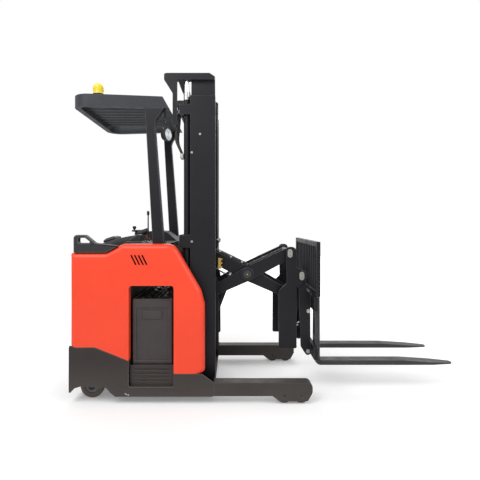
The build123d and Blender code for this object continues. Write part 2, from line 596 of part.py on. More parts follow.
# Drive pod: a shell over the drive motor, open below
POD_X = (REAR_X + SKIRT, TRAY_X[0])
POD_OUTLINE = [
    (POD_X[0], DRIVE_DECK_TOP, 0),
    *POD_TOP,
    (POD_X[1], CONSOLE_TOP - 30, 0),
    (POD_X[1], DRIVE_DECK_TOP, 0),
]
POD_HOLLOW = [
    (POD_X[0] + POD_WALL, DRIVE_DECK_TOP, 0),
    (POD_X[0] + POD_WALL, POD_TOP[0][1] - 40, 20),
    (POD_X[1] - POD_WALL, POD_TOP[2][1] - 55, 20),
    (POD_X[1] - POD_WALL, DRIVE_DECK_TOP, 0),
]
with BuildPart() as pod:
    plate(POD_OUTLINE, (POD_INNER_Y, INSIDE))
    corner = pod.edges().filter_by(Axis.Z).group_by(Axis.X)[0].sort_by(Axis.Y)[0]
    fillet(corner, 40)
    plate(POD_HOLLOW, (POD_INNER_Y + POD_WALL, INSIDE - POD_WALL), Mode.SUBTRACT)
    bar_z(TILLER_AT, TILLER_POST_R, (TILLER_Z - 60, TILLER_Z - SEAT_GAP))
save(pod.part, "drive_pod")

with BuildPart() as mat:
    block((REAR_X + SKIRT + 8, TRAY_X[0] - 8), (-INSIDE + 10, POD_INNER_Y - 25), (FLOOR_TOP, FLOOR_TOP + MAT))
    fillet(mat.edges().filter_by(Axis.Z), 15)
save(mat.part, "floor_mat")

with BuildPart() as lean_pad:
    block(LEAN_PAD_X, (POD_INNER_Y - LEAN_PAD, POD_INNER_Y - SEAT_GAP), LEAN_PAD_Z)
    fillet(lean_pad.edges(), 14)
save(lean_pad.part, "lean_pad")

ARMREST_X = (-1445.0, -1325.0)
ARMREST = 34.0
POD_SLOPE = (POD_TOP[1][1] - POD_TOP[0][1]) / (POD_TOP[1][0] - POD_TOP[0][0])


def pod_top_z(x):
    """Return the height of the drive pod's rear slope at x."""
    return POD_TOP[0][1] + POD_SLOPE * (x - POD_TOP[0][0])


with BuildPart() as armrest:
    plate(
        [
            (ARMREST_X[0], pod_top_z(ARMREST_X[0]) + SEAT_GAP, 4),
            (ARMREST_X[0], pod_top_z(ARMREST_X[0]) + ARMREST, 14),
            (ARMREST_X[1], pod_top_z(ARMREST_X[1]) + ARMREST, 14),
            (ARMREST_X[1], pod_top_z(ARMREST_X[1]) + SEAT_GAP, 4),
        ],
        (POD_INNER_Y + 60, POD_INNER_Y + 300),
    )
save(armrest.part, "armrest")

# Grab handle cap on the rear of the right-hand panel
CAP_OUTLINE = [
    (CAP_X[0], PANEL_REAR_TOP, 0),
    (CAP_X[0], PANEL_REAR_TOP + CAP_RISE[0], 26),
    (CAP_X[1], PANEL_REAR_TOP + CAP_RISE[0], 26),
    (CAP_X[2], PANEL_REAR_TOP + CAP_RISE[1], 30),
    (CAP_X[3], PANEL_REAR_TOP + CAP_RISE[2], 4),
    (RAMP_X[0], PANEL_REAR_TOP, 0),
]
CAP_HOLE = [
    (CAP_HOLE_X[0], PANEL_REAR_TOP + CAP_HOLE_RISE[0], 10),
    (CAP_HOLE_X[0], PANEL_REAR_TOP + CAP_HOLE_RISE[1], 10),
    (CAP_HOLE_X[1], PANEL_REAR_TOP + CAP_HOLE_RISE[1], 12),
    (CAP_HOLE_X[2], PANEL_REAR_TOP + CAP_HOLE_RISE[0], 8),
]
with BuildPart() as grab_cap:
    plate(CAP_OUTLINE, right((PANEL_Y[0] + 5, PANEL_Y[1] - 5)))
    plate(CAP_HOLE, right(PANEL_Y), Mode.SUBTRACT)
    add(panel_right.part, mode=Mode.SUBTRACT)
save(grab_cap.part, "grab_handle")

# Controls
HANDLE_AT = (HOOD_X[0] + 41, middle(DASH_Y) + 40)
HANDLE_Z = HOOD_TOP + 15
with BuildPart() as control_handle:
    bar_z(HANDLE_AT, 34, (HANDLE_Z, HANDLE_Z + 12))
    bar_z(HANDLE_AT, 13, (HANDLE_Z + 12, HANDLE_Z + 50))
    with Locations(Location((HANDLE_AT[0], HANDLE_AT[1], HANDLE_Z + 65), (0, 70, 0))):
        Cylinder(24, 96)
    fillet(control_handle.edges().filter_by(GeomType.CIRCLE).group_by(Axis.Z)[-1], 6)
save(control_handle.part, "control_handle")

with BuildPart() as tiller:
    bar_z(TILLER_AT, 70, (TILLER_Z, TILLER_Z + 16))
    fillet(tiller.edges().filter_by(GeomType.CIRCLE), 5)
    bar_z((TILLER_AT[0] - 45, TILLER_AT[1]), 17, (TILLER_Z + 10, TILLER_Z + 52))
    fillet(tiller.edges().filter_by(GeomType.CIRCLE).group_by(Axis.Z)[-1], 9)
save(tiller.part, "steer_tiller")

# Overhead guard: a tapering frame with lengthwise bars and a sloped front rail
GUARD_OUTLINE = [
    (GUARD_REAR_X, -GUARD_HALF[0], GUARD_CORNER),
    (GUARD_FRONT_X[0], -GUARD_HALF[1], 0),
    (GUARD_FRONT_X[0], GUARD_HALF[1], 0),
    (GUARD_REAR_X, GUARD_HALF[0], GUARD_CORNER),
]
GUARD_WINDOW = [
    (GUARD_REAR_X + GUARD_RAIL, -GUARD_HALF[0] + GUARD_RAIL, GUARD_CORNER - GUARD_RAIL),
    (GUARD_FRONT_X[1] - GUARD_RAIL, -GUARD_HALF[1] + GUARD_RAIL - 5, 10),
    (GUARD_FRONT_X[1] - GUARD_RAIL, GUARD_HALF[1] - GUARD_RAIL + 5, 10),
    (GUARD_REAR_X + GUARD_RAIL, GUARD_HALF[0] - GUARD_RAIL, GUARD_CORNER - GUARD_RAIL),
]
GUARD_SLOPE = [
    (GUARD_FRONT_X[0], GUARD_Z[0], 0),
    (GUARD_FRONT_X[1], GUARD_Z[1], 0),
    (GUARD_FRONT_X[0], GUARD_Z[1], 0),
]
GUARD_TAPER = (GUARD_HALF[1] - GUARD_HALF[0]) / (GUARD_FRONT_X[0] - GUARD_REAR_X)
BEACON_AT = (BEACON_X, BEACON_INSET - GUARD_HALF[0] - GUARD_TAPER * (BEACON_X - GUARD_REAR_X))
GUARD_IN_X = (GUARD_REAR_X + GUARD_RAIL / 2, GUARD_FRONT_X[1] - GUARD_RAIL / 2)
BAR_PITCH = 2 * (GUARD_HALF[1] - GUARD_RAIL) / (GUARD_BARS + 1)
with BuildPart() as guard:
    slab(GUARD_OUTLINE, GUARD_Z)
    slab(GUARD_WINDOW, GUARD_Z, Mode.SUBTRACT)
    with Locations((middle(GUARD_IN_X), 0, GUARD_Z[1] - GUARD_BAR[1] / 2 - 6)):
        with GridLocations(0, BAR_PITCH, 1, GUARD_BARS):
            Box(GUARD_IN_X[1] - GUARD_IN_X[0], *GUARD_BAR)
    plate(GUARD_SLOPE, (-HALF_WIDTH, HALF_WIDTH), Mode.SUBTRACT)
    block(
        (BEACON_AT[0] - 60, BEACON_AT[0] + 60),
        (BEACON_AT[1] - 50, BEACON_AT[1] + 50),
        (GUARD_Z[1] - 14, GUARD_Z[1]),
    )
save(guard.part, "overhead_guard")

POST_OUTLINE = [
    (-885, HOOD_TOP, 0),
    (-938, 2120, 60),
    (-950, GUARD_Z[0], 0),
    (-795, GUARD_Z[0], 0),
    (-868, 2110, 110),
    (-797, HOOD_TOP, 0),
]
with BuildPart() as posts:
    plate(POST_OUTLINE, right(POST_Y))
    mirror(about=Plane.XZ)
save(posts.part, "guard_posts")

with BuildPart() as beacon_base:
    bar_z(BEACON_AT, BEACON_R, (GUARD_Z[1], GUARD_Z[1] + 22))
    fillet(beacon_base.edges().filter_by(GeomType.CIRCLE).group_by(Axis.Z)[-1], 5)
save(beacon_base.part, "beacon_base")

with BuildPart() as beacon_lens:
    bar_z(BEACON_AT, BEACON_R - 5, (GUARD_Z[1] + 22, GUARD_Z[1] + 105))
    fillet(beacon_lens.edges().filter_by(GeomType.CIRCLE).group_by(Axis.Z)[-1], 32)
save(beacon_lens.part, "beacon_lens")

# Work lamp on a strap below the guard's front rail
LAMP_PLANE = Plane(
    origin=LAMP_AT, x_dir=(0, 0, 1), z_dir=(cos(radians(LAMP_TURN)), -sin(radians(LAMP_TURN)), 0)
)
LAMP_STRAP_X = (LAMP_AT[0] - 32, LAMP_AT[0] - 22)
with BuildPart() as lamp:
    with BuildSketch(LAMP_PLANE):
        Circle(LAMP_R)
    extrude(amount=-36, taper=18)
    with BuildSketch(LAMP_PLANE):
        Circle(LAMP_R)
    extrude(amount=12)
    with BuildSketch(LAMP_PLANE.offset(2)):
        Circle(LAMP_R - 6)
    extrude(amount=10, mode=Mode.SUBTRACT)
    block(LAMP_STRAP_X, right((POST_Y[0] - RUN_GAP - 36, POST_Y[0] - RUN_GAP)), (LAMP_AT[2] - 25, GUARD_Z[0]))
save(lamp.part, "work_lamp")

with BuildPart() as lamp_lens:
    with BuildSketch(LAMP_PLANE.offset(2)):
        Circle(LAMP_R - 6 - FIT_GAP)
    extrude(amount=7)
save(lamp_lens.part, "work_lamp_lens")

# Outer mast stage with its ties behind the lift cylinders
with BuildPart() as mast_outer:
    channel(OUTER_X, OUTER_WEB, OUTER_TIP, OUTER_Z)
    for tie in OUTER_TIES:
        block((OUTER_TIE_X[0], OUTER_X[0]), right((OUTER_WEB[1] - STAGE_TIE, OUTER_WEB[1])), tie)
        block(
            (OUTER_TIE_X[1], LIFT_AT[0]),
            right((LIFT_AT[1] - LIFT_BARREL_R - 8, LIFT_AT[1] + LIFT_BARREL_R + 8)),
            (tie[1] - 30, tie[1]),
        )
        bar_z((LIFT_AT[0], -LIFT_AT[1]), LIFT_BARREL_R + FIT_GAP, tie, Mode.SUBTRACT)
    mirror(about=Plane.XZ)
    for tie in OUTER_TIES:
        block(OUTER_TIE_X, (-OUTER_WEB[1], OUTER_WEB[1]), tie)
save(mast_outer.part, "mast_outer")

with BuildPart() as lift_barrels:
    foot_z = OUTER_Z[0]
    bar_z((LIFT_AT[0], -LIFT_AT[1]), LIFT_BARREL_R, (foot_z, LIFT_TOP_Z))
    bar_z((LIFT_AT[0], -LIFT_AT[1]), GLAND_R, (LIFT_TOP_Z - GLAND, LIFT_TOP_Z))
    bar_z((LIFT_AT[0], -LIFT_AT[1]), LIFT_ROD_R + PIN_GAP, (foot_z + LIFT_FOOT, LIFT_TOP_Z), Mode.SUBTRACT)
    mirror(about=Plane.XZ)
save(lift_barrels.part, "lift_barrels")

# Middle mast stage with the crosshead that the lift rods push
HEAD_OUTLINE = [
    (HEAD_REAR_X, HEAD_Z[0], 0),
    (HEAD_REAR_X, HEAD_Z[1] - 6, 10),
    (HEAD_REAR_X + 20, HEAD_Z[1], 10),
    (-455, HEAD_Z[1], 20),
    (MIDDLE_X[1], HEAD_Z[1] - 28, 8),
    (MIDDLE_X[1], HEAD_Z[0], 0),
]
HOSE_GUARD_OUTLINE = [
    (HEAD_REAR_X, HEAD_Z[0], 0),
    (-705, HEAD_Z[0], 0),
    (-705, 2100, 10),
    (-742, 2100, 10),
    (-742, 2345, 30),
]
with BuildPart() as mast_middle:
    channel(MIDDLE_X, MIDDLE_WEB, MIDDLE_TIP, MIDDLE_Z)
    track_roller(OUTER_X, STAGE_ROLLER_Z, (MIDDLE_WEB[1], OUTER_WEB[0]))
    plate(HEAD_OUTLINE, right(HEAD_HALF))
    plate(HOSE_GUARD_OUTLINE, right((HEAD_HALF[1] - STAGE_TIE, HEAD_HALF[1])))
    mirror(about=Plane.XZ)
    block(HEAD_TIE_X, (-HEAD_HALF[0], HEAD_HALF[0]), HEAD_Z)
    for tie in MIDDLE_TIES:
        block((MIDDLE_X[0], MIDDLE_X[0] + STAGE_TIE), (-MIDDLE_TIP, MIDDLE_TIP), tie)
save(mast_middle.part, "mast_middle")

with BuildPart() as lift_rods:
    bar_z((LIFT_AT[0], -LIFT_AT[1]), LIFT_ROD_R, (LIFT_ROD_FOOT_Z, HEAD_Z[0]))
    mirror(about=Plane.XZ)
save(lift_rods.part, "lift_rods")

# Inner mast stage with the chain sheaves at its top
with BuildPart() as mast_inner:
    channel(INNER_X, INNER_WEB, INNER_TIP, INNER_Z)
    track_roller(MIDDLE_X, STAGE_ROLLER_Z, (INNER_WEB[1], MIDDLE_WEB[0]))
    for cheek in ((CHAIN_Y[0] - 14, CHAIN_Y[0] - 4), (CHAIN_Y[1] + 4, CHAIN_Y[1] + 14)):
        block((SHEAVE_AT[0] - 25, INNER_X[0] + STAGE_TIE), right(cheek), (INNER_TIES[-1][0], SHEAVE_AT[1] + 20))
    bar_y(SHEAVE_AT, 12, right((CHAIN_Y[0] - 14, CHAIN_Y[1] + 14)))
    bar_y(SHEAVE_AT, SHEAVE_R, right((CHAIN_Y[0] - 2, CHAIN_Y[1] + 2)))
    mirror(about=Plane.XZ)
    for tie in INNER_TIES:
        block((INNER_X[0], INNER_X[0] + STAGE_TIE), (-INNER_TIP, INNER_TIP), tie)
save(mast_inner.part, "mast_inner")

# Lift chain: the strands from the sheaves down to the reach frame
CHAIN_FRONT_X = (SHEAVE_AT[0] + SHEAVE_R, SHEAVE_AT[0] + SHEAVE_R + CHAIN)
with BuildPart() as chain_front:
    block(CHAIN_FRONT_X, right(CHAIN_Y), (CHAIN_ANCHOR_Z, SHEAVE_AT[1]))
    mirror(about=Plane.XZ)
save(chain_front.part, "lift_chain_front")

# Support frame: rides in the inner stage and carries the rear of the scissor linkage
TRACK_HALF = ROLLER_R + TRACK_GAP
SUPPORT_OUTLINE = [
    (SUPPORT_X[0], SUPPORT_Z[0], 14),
    (SUPPORT_TOE[0], SUPPORT_Z[0], 14),
    (SUPPORT_TOE[0], SUPPORT_TOE[1], 60),
    (SUPPORT_X[1], SUPPORT_TOE[2], 30),
    (SUPPORT_X[1], SUPPORT_Z[1], 14),
    (SUPPORT_X[0], SUPPORT_Z[1], 14),
]
HOSE_BRACKET = [(-480, SUPPORT_Z[1], 0), (-408, 1212, 24), (-384, 1180, 24), (SUPPORT_X[1], 1120, 0)]


def rails(track_x, z):
    """Add the pair of guide rails of one roller track on the right-hand frame plate."""
    for low in (track_x - TRACK_HALF - RAIL, track_x + TRACK_HALF):
        block((low, low + RAIL), right(RAIL_Y), z)


def lugs(circles, y=LUG_Y):
    """Add a pair of lug plates for a cylinder's eye, on both sides of the middle plane."""
    for side in (right(y), y):
        link(circles, side)


with BuildPart() as support:
    plate(SUPPORT_OUTLINE, right(FRAME_Y))
    plate(HOSE_BRACKET, right(FRAME_Y))
    rails(REAR_ROLLER[0], (SUPPORT_Z[0] + 5, RAIL_TOP))
    bar_y(REAR_PIN, ARM_PIN_R, right((INNER_ARM_Y[0] - 4, FRAME_Y[1])))
    for roller_z in MAST_ROLLER_Z:
        track_roller(INNER_X, roller_z, (FRAME_Y[1], INNER_WEB[0]))
    mirror(about=Plane.XZ)
    bar_y(HOSE_ROLLER, 20, (-FRAME_Y[0], FRAME_Y[0]))
    for tie in SUPPORT_TIES:
        block((SUPPORT_X[0], SUPPORT_X[0] + SUPPORT_TIE), (-FRAME_Y[0], FRAME_Y[0]), tie)
    for side in (right(CHAIN_Y), CHAIN_Y):
        block(
            (SUPPORT_X[0], CHAIN_FRONT_X[1] + 4),
            (side[0] - 6, side[1] + 6),
            (CHAIN_ANCHOR_Z - 40, CHAIN_ANCHOR_Z),
        )
    lugs([(REACH_FOOT, CYLINDER_EYE_R), ((SUPPORT_X[0] + 12, REACH_FOOT[1]), 12)])
    bar_y(REACH_FOOT, CYLINDER_PIN_R, (-LUG_Y[1], LUG_Y[1]))
save(support.part, "support_frame")

# Scissor arms, two plates each: the inner pair hangs from the rear pin, the outer from the front
ALONG = (cos(radians(ARM_ANGLE)), -sin(radians(ARM_ANGLE)))


def on_inner_arm(u):
    """Return the (x, z) point at distance u from the rear pin along the inner arm."""
    return (REAR_PIN[0] + u * ALONG[0], REAR_PIN[1] + u * ALONG[1])


with BuildPart() as arm_inner:
    link(
        [(REAR_PIN, ARM_END_R), (MIDDLE_PIN, ARM_MIDDLE_R), (FRONT_ROLLER, ARM_ROLLER_END_R)],
        right(INNER_ARM_Y),
    )
    bar_y(REAR_PIN, ARM_PIN_R + PIN_GAP, right(INNER_ARM_Y), Mode.SUBTRACT)
    bar_y(MIDDLE_PIN, MIDDLE_PIN_R + PIN_GAP, right(INNER_ARM_Y), Mode.SUBTRACT)
    bar_y(FRONT_ROLLER, ARM_PIN_R, right((INNER_ARM_Y[1], ROLLER_Y[0])))
    bar_y(FRONT_ROLLER, ROLLER_R, right(ROLLER_Y))
    mirror(about=Plane.XZ)
    bar_y(on_inner_arm(ARM_TUBE_U), ARM_TUBE_R, (-INNER_ARM_Y[0], INNER_ARM_Y[0]))
    lugs([(on_inner_arm(ARM_TUBE_U), 20), (on_inner_arm(REACH_EYE_U), CYLINDER_EYE_R)], ARM_LUG_Y)
    bar_y(on_inner_arm(REACH_EYE_U), CYLINDER_PIN_R, (-ARM_LUG_Y[1], ARM_LUG_Y[1]), Mode.SUBTRACT)
save(arm_inner.part, "scissor_arm_inner")

with BuildPart() as arm_outer:
    link(
        [(REAR_ROLLER, ARM_ROLLER_END_R), (MIDDLE_PIN, ARM_MIDDLE_R), (FRONT_PIN, ARM_END_R)],
        right(OUTER_ARM_Y),
    )
    bar_y(MIDDLE_PIN, ARM_MIDDLE_R - 8, right((OUTER_ARM_Y[1], ARM_BOSS_Y)))
    bar_y(MIDDLE_PIN, MIDDLE_PIN_R, right((INNER_ARM_Y[0] + 1, OUTER_ARM_Y[0])))
    bar_y(REAR_ROLLER, ARM_PIN_R, right((OUTER_ARM_Y[1], ROLLER_Y[0])))
    bar_y(REAR_ROLLER, ROLLER_R, right(ROLLER_Y))
    bar_y(FRONT_PIN, ARM_PIN_R, right((OUTER_ARM_Y[1], FRAME_Y[1] + 3)))
    mirror(about=Plane.XZ)
    bar_y(FRONT_PIN, ARM_TUBE_R, (-OUTER_ARM_Y[0], OUTER_ARM_Y[0]))
save(arm_outer.part, "scissor_arm_outer")

# Front frame: carried by the linkage, holds the tilt pin and the tilt cylinder
FRONT_OUTLINE = [
    (FRONT_HEEL[0], FRONT_Z[0], 12),
    (FRONT_X[1], FRONT_Z[0], 12),
    (FRONT_X[1], FRONT_Z[1], 40),
    (FRONT_NECK_X - 8, FRONT_Z[1], 30),
    (FRONT_NECK_X, FRONT_HEEL[2], 30),
    (FRONT_HEEL[0], FRONT_HEEL[1], 30),
]
with BuildPart() as front:
    plate(FRONT_OUTLINE, right(FRAME_Y))
    link([(TILT_PIN, 42), ((FRONT_X[1] - 40, TILT_PIN[1] + 60), 30), ((FRONT_X[1] - 40, 820), 30)], right(FRAME_Y))
    rails(FRONT_ROLLER[0], (FRONT_Z[0] + 5, RAIL_TOP))
    bar_y(FRONT_PIN, ARM_PIN_R + PIN_GAP, right(FRAME_Y), Mode.SUBTRACT)
    bar_y(TILT_PIN, TILT_PIN_R, right((CARRIAGE_Y[0] - 2, FRAME_Y[1] + 3)))
    mirror(about=Plane.XZ)
    for tie in FRONT_TIES:
        block((FRONT_X[1] - STAGE_TIE, FRONT_X[1]), (-FRAME_Y[0], FRAME_Y[0]), tie)
    bar_x((0, TILT_CYLINDER_Z), TILT_BARREL_R + FIT_GAP, (FRONT_X[1] - STAGE_TIE, FRONT_X[1]), Mode.SUBTRACT)
save(front.part, "front_frame")

with BuildPart() as tilt_barrel:
    bar_x((0, TILT_CYLINDER_Z), TILT_BARREL_R, (FRONT_X[0], FRONT_X[1] + 6))
    bar_x((0, TILT_CYLINDER_Z), TILT_ROD_R + PIN_GAP, (FRONT_X[0] + 14, FRONT_X[1] + 6), Mode.SUBTRACT)
save(tilt_barrel.part, "tilt_cylinder_barrel")

with BuildPart() as tilt_rod:
    bar_x((0, TILT_CYLINDER_Z), TILT_ROD_R, (FRONT_X[0] + 50, TILT_EYE_X - 14))
    bar_y((TILT_EYE_X, TILT_CYLINDER_Z), CYLINDER_EYE_R - 4, (-CYLINDER_EYE_HALF, CYLINDER_EYE_HALF))
    bar_y((TILT_EYE_X, TILT_CYLINDER_Z), CYLINDER_PIN_R, (-CYLINDER_EYE_HALF, CYLINDER_EYE_HALF), Mode.SUBTRACT)
save(tilt_rod.part, "tilt_cylinder_rod")

# Fork carriage: side plates from the tilt pin down to the two fork bars
CARRIAGE_OUTLINE = [
    (252, 962, 20),
    (304, 962, 24),
    (322, 790, 40),
    (BAR_X[0], 766, 0),
    (BAR_X[0], BARS[0][0], 0),
    (330, 258, 24),
    (300, 300, 40),
    (272, 345, 20),
]
TILT_TIE_X = (BAR_X[0] - 14, BAR_X[0])
with BuildPart() as carriage:
    plate(CARRIAGE_OUTLINE, right(CARRIAGE_Y))
    bar_y(TILT_PIN, TILT_PIN_R + PIN_GAP, right(CARRIAGE_Y), Mode.SUBTRACT)
    mirror(about=Plane.XZ)
    for bar in BARS:
        block(BAR_X, (-BAR_HALF, BAR_HALF), bar)
    block(TILT_TIE_X, (-CARRIAGE_Y[0], CARRIAGE_Y[0]), (TILT_CYLINDER_Z - 60, TILT_CYLINDER_Z + 60))
    lugs([((TILT_EYE_X, TILT_CYLINDER_Z), 20), ((TILT_TIE_X[0] + 4, TILT_CYLINDER_Z), 30)])
    bar_y((TILT_EYE_X, TILT_CYLINDER_Z), CYLINDER_PIN_R, (-LUG_Y[1], LUG_Y[1]), Mode.SUBTRACT)
save(carriage.part, "fork_carriage")

FORK_X = (BAR_X[1], BAR_X[1] + FORK_THICK)
FORK_OUTLINE = [
    (FORK_X[0] - 28, BARS[1][1], 0),
    (FORK_X[0] - 28, BARS[1][1] + 22, 6),
    (FORK_X[1], BARS[1][1] + 22, 8),
    (FORK_X[1], FORK_BOTTOM + FORK_THICK, 22),
    (FORK_TAPER_X, FORK_BOTTOM + FORK_THICK, 300),
    (FORK_TIP_X, FORK_BOTTOM + FORK_TIP, 4),
    (FORK_TIP_X, FORK_BOTTOM, 4),
    (FORK_X[0], FORK_BOTTOM, 48),
    (FORK_X[0], BARS[1][1], 0),
]
for place, side in (("right", -1), ("left", 1)):
    FORK_SPAN = (side * FORK_Y - FORK_WIDTH / 2, side * FORK_Y + FORK_WIDTH / 2)
    with BuildPart() as fork:
        plate(FORK_OUTLINE, FORK_SPAN)
        slab(
            [
                (FORK_X[0] - 40, FORK_SPAN[0], 0),
                (FORK_TIP_X - 170, FORK_SPAN[0], 200),
                (FORK_TIP_X, FORK_SPAN[0] + 26, 24),
                (FORK_TIP_X, FORK_SPAN[1] - 26, 24),
                (FORK_TIP_X - 170, FORK_SPAN[1], 200),
                (FORK_X[0] - 40, FORK_SPAN[1], 0),
            ],
            (FORK_BOTTOM, BARS[1][1] + 60),
            Mode.INTERSECT,
        )
    save(fork.part, f"fork_{place}")

with BuildPart() as backrest:
    for z in ((REST_Z[0], REST_Z[0] + REST_FRAME), (REST_Z[1] - REST_FRAME, REST_Z[1])):
        block(REST_X, (-REST_HALF, REST_HALF), z)
    block(REST_X, right((REST_HALF - REST_FRAME, REST_HALF)), REST_Z)
    block((BAR_X[0], REST_X[1]), right((330, 390)), (BARS[1][1], REST_Z[0]))
    mirror(about=Plane.XZ)
    with Locations((middle(REST_X), 0, middle(REST_Z))):
        with GridLocations(0, 2 * (REST_HALF - REST_FRAME) / (REST_BARS + 1), 1, REST_BARS):
            Box(REST_BAR + 4, REST_BAR, REST_Z[1] - REST_Z[0] - REST_FRAME)
save(backrest.part, "load_backrest")

# Reach cylinder from the support frame's foot to the inner arm
REACH_EYE = on_inner_arm(REACH_EYE_U)
REACH_LENGTH = hypot(REACH_EYE[0] - REACH_FOOT[0], REACH_EYE[1] - REACH_FOOT[1])
REACH_PLANE = Plane(
    origin=(REACH_FOOT[0], 0, REACH_FOOT[1]),
    x_dir=(0, 1, 0),
    z_dir=(REACH_EYE[0] - REACH_FOOT[0], 0, REACH_EYE[1] - REACH_FOOT[1]),
)
REACH_BARREL_END = REACH_LENGTH - REACH_STROKE - CYLINDER_EYE_R - 20
with BuildPart() as reach_barrel:
    with BuildSketch(REACH_PLANE.offset(CYLINDER_EYE_R + RUN_GAP)):
        Circle(REACH_BARREL_R)
    extrude(amount=REACH_BARREL_END - CYLINDER_EYE_R - RUN_GAP)
    with BuildSketch(REACH_PLANE):
        Circle(CYLINDER_EYE_HALF - 2)
    extrude(amount=CYLINDER_EYE_R + RUN_GAP)
    with BuildSketch(REACH_PLANE.offset(CYLINDER_EYE_R + 50)):
        Circle(REACH_ROD_R + PIN_GAP)
    extrude(amount=REACH_BARREL_END, mode=Mode.SUBTRACT)
    bar_y(REACH_FOOT, CYLINDER_EYE_R, (-CYLINDER_EYE_HALF, CYLINDER_EYE_HALF))
    bar_y(REACH_FOOT, CYLINDER_PIN_R + PIN_GAP, (-REACH_BARREL_R, REACH_BARREL_R), Mode.SUBTRACT)
save(reach_barrel.part, "reach_cylinder_barrel")

with BuildPart() as reach_rod:
    with BuildSketch(REACH_PLANE.offset(REACH_STROKE + CYLINDER_EYE_R + 70)):
        Circle(REACH_ROD_R)
    extrude(amount=REACH_LENGTH - REACH_STROKE - CYLINDER_EYE_R - 70 - 14)
    bar_y(REACH_EYE, CYLINDER_EYE_R - 2, (RUN_GAP - ARM_LUG_Y[0], ARM_LUG_Y[0] - RUN_GAP))
    bar_y(REACH_EYE, CYLINDER_PIN_R, (-ARM_LUG_Y[0], ARM_LUG_Y[0]), Mode.SUBTRACT)
save(reach_rod.part, "reach_cylinder_rod")
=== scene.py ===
"""Dressed scene of a stand-up reach truck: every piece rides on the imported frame's bodies.

The frame is in metres, +X forward along the forks, +Y to the left and +Z up. Each sub-assembly
is a class with its sizes as fields, and main() builds them in order.
"""

import json
import logging
import math
from dataclasses import dataclass, field
from enum import Enum
from typing import Callable, Iterable, Sequence

import bmesh
import bpy
from mathutils import Matrix, Vector


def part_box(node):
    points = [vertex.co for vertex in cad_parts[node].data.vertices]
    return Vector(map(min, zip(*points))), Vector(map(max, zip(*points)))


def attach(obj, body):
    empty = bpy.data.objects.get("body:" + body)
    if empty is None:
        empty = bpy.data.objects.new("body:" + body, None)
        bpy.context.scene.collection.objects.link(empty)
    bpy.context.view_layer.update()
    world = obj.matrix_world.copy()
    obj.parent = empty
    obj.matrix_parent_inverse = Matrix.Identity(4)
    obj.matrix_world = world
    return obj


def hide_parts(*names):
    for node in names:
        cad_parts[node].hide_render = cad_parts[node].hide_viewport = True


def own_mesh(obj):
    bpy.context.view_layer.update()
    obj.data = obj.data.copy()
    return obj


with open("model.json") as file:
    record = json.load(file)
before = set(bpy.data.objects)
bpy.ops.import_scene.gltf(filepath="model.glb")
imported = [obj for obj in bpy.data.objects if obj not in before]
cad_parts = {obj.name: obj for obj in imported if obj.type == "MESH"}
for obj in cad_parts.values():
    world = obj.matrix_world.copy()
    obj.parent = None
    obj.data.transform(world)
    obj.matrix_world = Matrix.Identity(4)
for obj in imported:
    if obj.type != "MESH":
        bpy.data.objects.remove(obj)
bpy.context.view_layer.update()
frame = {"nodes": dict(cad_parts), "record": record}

LOG = logging.getLogger("reach_truck")
Colour = tuple[float, float, float]
Point = tuple[float, float, float]
Flat = tuple[float, float]
Rows = list[tuple[Point, Point]]
Profile = Sequence[Flat]
Test = Callable[[Vector], bool]
Tree = bpy.types.NodeTree
Socket = bpy.types.NodeSocket
Piece = bpy.types.Object
Mesh = bpy.types.Mesh
Shape = bmesh.types.BMesh
RIGHT: Point = (0.0, -1.0, 0.0)
LEFT: Point = (0.0, 1.0, 0.0)
UP: Point = (0.0, 0.0, 1.0)
FRONT: Point = (1.0, 0.0, 0.0)
REAR: Point = (-1.0, 0.0, 0.0)
NODE_BODY: dict[str, str] = {
    node: body for body, nodes in frame["record"]["behaviour"]["bodies"].items() for node in nodes
}
NODE_SLOT: dict[str, str] = {row["node"]: row["material_slot"] for row in frame["record"]["subparts"]}
# Bands of noise and shares that every finish reads.
MOTTLE_BAND: Flat = (0.32, 0.70)
SPECK_BAND: Flat = (0.52, 0.74)
SPECK_SHARE = 0.45
SPECK_DARK = 0.78
CLOUD_BAND: Flat = (0.3, 0.72)
RUB_BAND: Flat = (0.60, 0.72)
RUB_SCALE: Point = (2.2, 26.0, 26.0)
DUST_HEIGHT: Flat = (0.02, 0.34)
# Rounding: which edges, how far, and the share of the area that a good result keeps.
SHARP_ANGLE = 50.0
FACE_WEIGHT = 70
ROUND_ANGLE = math.radians(40.0)
ROOM_SHARE = 0.42
STRAIGHT_ON = 0.75
AREA_RANGE: Flat = (0.9, 1.0006)
ROUNDING_TRIES = ((1.0, False), (0.5, False), (1.0, True), (0.5, True), (0.25, True))
WELD = 2e-5
FLAT_ANGLE = math.radians(0.6)


class Axis(Enum):
    """Direction that a round or repeated form points along."""

    X = (1.0, 0.0, 0.0)
    Y = (0.0, 1.0, 0.0)
    Z = (0.0, 0.0, 1.0)


class Side(Enum):
    """Side of the truck, with the sign of its Y."""

    RIGHT = -1
    LEFT = 1


class Pattern(Enum):
    """Kind of surface detail that a finish carries."""

    PAINT = "paint"
    METAL = "metal"
    MOULDED = "moulded"
    VINYL = "vinyl"
    RUBBER = "rubber"


def add_node(tree: Tree, kind: str, sockets: dict[str | int, object], **settings: str) -> bpy.types.Node:
    """Add a node to a tree and fill its inputs.

    Args:
        tree: Node tree to add to.
        kind: Node type.
        sockets: Sockets to link and plain values to set, by input.
        settings: Node properties, such as the operation of a math node.

    Returns:
        The node.
    """
    node = tree.nodes.new(kind)
    for name, setting in settings.items():
        setattr(node, name, setting)
    for key, value in sockets.items():
        if isinstance(value, Socket):
            tree.links.new(value, node.inputs[key])
        else:
            node.inputs[key].default_value = value
    return node


